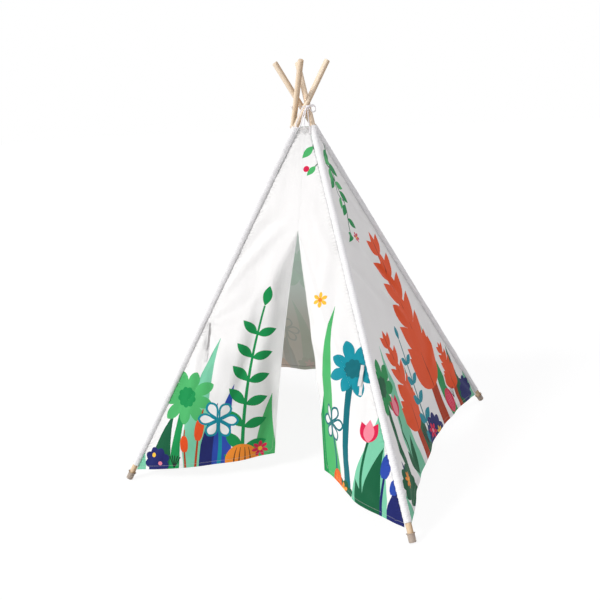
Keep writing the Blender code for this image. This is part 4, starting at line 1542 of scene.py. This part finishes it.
def add_sleeve(pole):
    """The pocket round a pole: soft cloth, drawn in at its stitches, with a gathered outer face."""
    length = SLEEVE_END - COVER_TOP
    rows = round(length / SLEEVE_ROW)
    out = pole.side.cross(pole.axis) * -1
    vertices, flat, faces = [], [], []
    for outer in (True, False):
        for row in range(rows + 1):
            level = COVER_TOP + length * row / rows
            for column in range(SLEEVE_SIDES):
                turn = math.tau * column / SLEEVE_SIDES
                reach = sleeve_reach(pole, level, turn) if outer else SLEEVE_RADIUS - SLEEVE_WALL
                vertices.append(pole.at(level) + (out * math.cos(turn) + pole.side * math.sin(turn)) * reach)
                flat.append((turn * SLEEVE_RADIUS, level))

    def vertex(layer, row, column):
        return (layer * (rows + 1) + row) * SLEEVE_SIDES + column % SLEEVE_SIDES

    for row in range(rows):
        for column in range(SLEEVE_SIDES):
            corners = ((row, column), (row, column + 1), (row + 1, column + 1), (row + 1, column))
            faces.append([vertex(0, *corner) for corner in corners])
            faces.append([vertex(1, *corner) for corner in corners[::-1]])
    for row, turn in ((0, 1), (rows, -1)):
        for column in range(SLEEVE_SIDES):
            rim = [vertex(0, row, column), vertex(1, row, column)]
            rim += [vertex(1, row, column + 1), vertex(0, row, column + 1)]
            faces.append(rim[::turn])
    full_turn = math.tau * SLEEVE_RADIUS
    mesh = flat_mapped_mesh(f"sleeve_cloth_{pole.name}", vertices, faces, flat, full_turn)
    mesh.shade_smooth()
    face_outward(mesh)
    piece = add_piece(mesh, MATERIALS["sleeve"], pole.body, f"sleeve_{pole.name}")


def tape_path(door):
    """The way along a folded tape, up one leg and down the other, as u, v and how far out it is."""
    side, name = door.side, door.pole.name
    top_v = side.v_at(SLOPE - TAPE_RISES[name])
    drop = TAPE_DROPS[name] * side.height / SLOPE
    u = door.sign * (side.edge(top_v) - TAPE_WIDTH)
    path = []
    for leg, reach, lift in ((-1, 1.0, TAPE_LIFT), (1, TAPE_SHORT_LEG, TAPE_LIFT + TAPE_LEG_STEP)):
        line = []
        for step in range(TAPE_STEPS + 1):
            share = step / TAPE_STEPS
            sway = TAPE_SWAY * math.sin(TAPE_SWAY_TURN * share + leg) * share
            out = lift + TAPE_BOW * math.sin(math.pi * share) * (1 + leg)
            line.append((u + sway, top_v - drop * reach * share, out))
        path += line[::-1] if leg < 0 else line
    return path


def add_tie_tape(door):
    """A folded tape, sewn on at its fold beside the sleeve, with two soft legs."""
    side, word = door.side, door.pole.flank
    path = tape_path(door)
    vertices, flat, faces = [], [], []
    travelled = 0
    for index, (u, v, out) in enumerate(path):
        half = TAPE_WIDTH / 2 * (1 - TAPE_CRUMPLE * math.sin(index * TAPE_CRUMPLE_STEP))
        curl = TAPE_CURL * math.sin(index * TAPE_CURL_STEP)
        for across in (-1, 1):
            place = door.fixed_point(u + across * half, v)
            place += side.normal * (out + curl * across)
            for face in (1, -1):
                vertices.append(place + side.normal * face * THICKNESS / 2)
                flat.append((across * half, travelled))
        if index + 1 < len(path):
            travelled += abs(path[index + 1][1] - v) + abs(path[index + 1][2] - out)
    last = (len(path) - 1) * 4
    for a in range(0, last, 4):
        b = a + 4
        faces += [(a, a + 2, b + 2, b), (a + 1, b + 1, b + 3, a + 3)]
        faces += [(a, b, b + 1, a + 1), (a + 2, a + 3, b + 3, b + 2)]
    faces += [(0, 1, 3, 2), (last, last + 2, last + 3, last + 1)]
    mesh = flat_mapped_mesh(f"flap_tape_{word}", vertices, faces, flat)
    face_outward(mesh)
    node = f"tie_tape_{door.pole.name}"
    piece = add_piece(mesh, MATERIALS["tape"], door.pole.body, node)
    draw_together(piece, side, door.pole)


# The tie


def add_knot(name, node, centre, sizes, cord_radius):
    """An overhand knot, drawn up tight."""
    reach = [size - cord_radius for size in sizes]
    line = []
    for step in range(KNOT_STEPS):
        turn = math.tau * step / KNOT_STEPS
        x = (math.sin(turn) + 2 * math.sin(2 * turn)) / 3
        y = (math.cos(turn) - 2 * math.cos(2 * turn)) / 3
        z = -math.sin(3 * turn) * KNOT_DEPTH
        line.append(centre + Vector((x * reach[0], z * reach[1], y * reach[2])))
    mesh = tube(name, line, cord_radius, KNOT_SIDES, closed=True)
    return add_piece(mesh, MATERIALS["cord"], "tie", node)


def route_length(points):
    return sum((b - a).length for a, b in zip(points, points[1:]))


def add_cord(name, node, route):
    points = smooth_route(route, CORD_SPACING)
    piece = add_piece(tube(name, points, CORD_RADIUS), MATERIALS["cord"], "tie", node)
    route_length(points)


def add_tie(poles):
    """The cord through the poles, and its bow."""
    centre = Vector((0, 0, poles["front_left"].tie.z))

    def through(name, *reaches):
        return [poles[name].tie + poles[name].side * reach for reach in reaches]

    def round_tie(route):
        return [centre + Vector(place) for place in route]

    knot = Vector(KNOT_PLACE)
    knot_face = (knot.length - KNOT_SIZES[0]) - (poles["front_left"].tie - centre).length
    left = through("back_left", HOLE_REACH, 0, -HOLE_REACH) + round_tie(LINK_BEND_LEFT[::-1])
    left += through("front_left", -HOLE_REACH, 0, HOLE_REACH, knot_face)
    right = through("back_right", HOLE_REACH, 0, -INNER_REACH) + round_tie(LINK_BEND_RIGHT)
    right += through("front_right", -INNER_REACH, 0, HOLE_REACH) + round_tie(RIGHT_STRAND)
    for side in ("left", "right"):
        place = through(f"back_{side}", HOLE_REACH + STOPPER_RADIUS)[0]
        name, node = f"end_knot_back_{side}", f"stopper_knot_back_{side}"
        add_knot(name, node, place, (STOPPER_RADIUS,) * 3, STOPPER_CORD_RADIUS)
    bow = add_knot("bow_centre", "bow_knot", centre + knot, KNOT_SIZES, CORD_RADIUS)
    for side, route in (("left", left), ("right", right)):
        add_cord(f"cord_{side}", f"tie_cord_{side}", route)
    add_cord("loop_left", "bow_loop_left", round_tie(BOW_LEFT))
    add_cord("loop_right", "bow_loop_right", round_tie(BOW_RIGHT))
    for side, route in (("left", TAIL_LEFT), ("right", TAIL_RIGHT)):
        places = round_tie(route)
        place = places[-1] + (places[-1] - places[-2]).normalized() * TIP_KNOT_RADIUS
        tip = add_knot(f"tip_{side}", f"tip_knot_{side}", place, (TIP_KNOT_RADIUS,) * 3, TIP_CORD_RADIUS)
        add_cord(f"tail_{side}", f"bow_tail_{side}", places)


# What is round the cloth and the cord: the CAD's pieces, the camera, the light and the floor


def dress_cad(poles):
    """Better materials on the pieces that the CAD model shows."""
    for pole in poles.values():
        pine = pine_finish(pole)
        for section in ("lower", "middle", "upper"):
            dress(f"pole_{section}_{pole.name}", pine)
        for section in ("lower", "middle"):
            dress(f"ferrule_{section}_{pole.name}", MATERIALS["zinc"])
        dress(f"foot_cap_{pole.name}", MATERIALS["cap"])


def dress(node, material):
    piece = FRAME["nodes"][node]
    piece.data.materials.clear()
    piece.data.materials.append(material)


def add_camera():
    data = bpy.data.cameras.new("camera")
    data.lens = CAMERA_LENS
    data.sensor_width = CAMERA_SENSOR
    camera = bpy.data.objects.new("camera", data)
    ahead, up = Vector(CAMERA_AHEAD).normalized(), Vector(CAMERA_UP)
    up = (up - ahead * up.dot(ahead)).normalized()
    turned_to = Matrix((ahead.cross(up), up, -ahead)).transposed().to_4x4()
    camera.matrix_world = Matrix.Translation(CAMERA_PLACE) @ turned_to
    bpy.context.scene.collection.objects.link(camera)
    bpy.context.scene.camera = camera


def add_lamp(name, strength, direction):
    """Even light from one direction."""
    data = bpy.data.lights.new(name, "SUN")
    data.energy = strength
    data.angle = SUN_ANGLE
    lamp = bpy.data.objects.new(name, data)
    lamp.rotation_euler = Vector(direction).to_track_quat("Z", "Y").to_euler()
    bpy.context.scene.collection.objects.link(lamp)


def add_light():
    """Two soft windows and a pale sky, which eyes, glass and metal see as white."""
    add_lamp("window", SUN_STRENGTH, SUN_FROM)
    add_lamp("back_window", BACK_LIGHT_STRENGTH, BACK_LIGHT_FROM)
    world = bpy.data.worlds.new("studio")
    bpy.context.scene.world = world
    world.use_nodes = True
    nodes = Nodes(world.node_tree)
    sky = world.node_tree.nodes["Background"]
    sky.inputs["Color"].default_value = (*SKY_COLOUR, 1)
    sky.inputs["Strength"].default_value = SKY_STRENGTH
    white = nodes.node("ShaderNodeBackground", None, {"Color": (1, 1, 1, 1), "Strength": 1})
    rays = nodes.node("ShaderNodeLightPath").outputs
    seen = Wire(nodes, rays["Is Camera Ray"])
    for kind in ("Is Transmission Ray", "Is Glossy Ray"):
        seen = seen.math("MAXIMUM", seen, Wire(nodes, rays[kind]))
    nodes.end("World Output", seen, sky, white)


def add_floor():
    """A plain pale floor that still takes the object's shadow."""
    mesh = bpy.data.meshes.new("floor")
    half = FLOOR_SIZE / 2
    corners = [(-half, -half, 0), (half, -half, 0), (half, half, 0), (-half, half, 0)]
    mesh.from_pydata(corners, [], [(0, 1, 2, 3)])
    floor = bpy.data.objects.new("floor", mesh)
    bpy.context.scene.collection.objects.link(floor)
    finish = Finish("floor", Roughness=0.9, Base_Color=FLOOR_COLOUR, Specular_IOR_Level=0.1)
    glow = finish.node("ShaderNodeEmission", None, {"Color": (1, 1, 1, 1), "Strength": FLOOR_GLOW})
    rays = finish.node("ShaderNodeLightPath").outputs
    seen = Wire(finish, rays["Is Camera Ray"]) * FLOOR_WHITENESS
    finish.end("Material Output", seen, finish.shader, glow)
    mesh.materials.append(finish.material)


# The making


def half_name(side, pole):
    """A half panel's name, with its pole's flank at the back and its pole's row on the other sides."""
    word = pole.flank if side.name == "back" else pole.row
    return f"panel_{side.name}_{word}_half"


def build():
    bpy.context.scene.view_settings.view_transform = "Standard"
    poles = {name: Pole(name) for name in ("front_left", "front_right", "back_right", "back_left")}
    add_camera()
    add_tie(poles)
    left, right, back_right, back_left = poles.values()
    front = Side("front", left, right)
    prints = print_shapes("front")
    for pole in (left, right):
        add_tie_tape(add_front_half(front, pole, prints))
    for name, first, second in (
        ("right", right, back_right),
        ("back", back_right, back_left),
        ("left", back_left, left),
    ):
        side, prints = Side(name, first, second), print_shapes(name)
        for pole in (first, second):
            add_half_side(side, pole, half_name(side, pole), prints)
    for pole in poles.values():
        add_sleeve(pole)
    dress_cad(poles)
    add_light()
    add_floor()


# The frame, and what is worked out from it

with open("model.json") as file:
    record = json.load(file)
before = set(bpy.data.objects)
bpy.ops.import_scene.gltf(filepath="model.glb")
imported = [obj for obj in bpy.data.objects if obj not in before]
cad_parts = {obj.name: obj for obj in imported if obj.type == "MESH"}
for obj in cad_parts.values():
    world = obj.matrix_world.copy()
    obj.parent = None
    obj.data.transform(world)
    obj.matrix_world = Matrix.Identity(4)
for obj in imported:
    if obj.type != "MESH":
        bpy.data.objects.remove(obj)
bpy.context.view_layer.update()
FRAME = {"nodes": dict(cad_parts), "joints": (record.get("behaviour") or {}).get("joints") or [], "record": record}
JOINTS = {joint["name"]: joint for joint in FRAME["joints"]}
MOUNTS = {mount["name"]: mount for mount in FRAME["record"]["mounts"]}
SLOPE = slope_length()
HEM_CORNER = SLOPE - HEM_CORNER_RISE
SLEEVE_END = SLOPE - SLEEVE_END_RISE
MATERIALS = {
    "canvas": canvas_finish(),
    "sleeve": plain_cloth_finish("sleeve_canvas", "#f5f4f4", ridge_pitch=0.0075),
    "tape": plain_cloth_finish("seam_tape", "#efeeec", ridge_pitch=0.0022),
    "cord": cord_finish(),
    "zinc": cloudy_finish(
        "zinc_tube", scale=90.0, detail=3.0, colours=("#b9bcc0", "#9fa3a8"), roughness=0.25, Metallic=1.0
    ),
    "cap": cloudy_finish(
        "clear_vinyl", scale=60.0, detail=2.0, colours=("#dccdbf", "#c4b2a1"), roughness=0.32,
        Transmission_Weight=0.4, IOR=1.35, Coat_Weight=0.3, Coat_Roughness=0.15,
    ),
}

build()
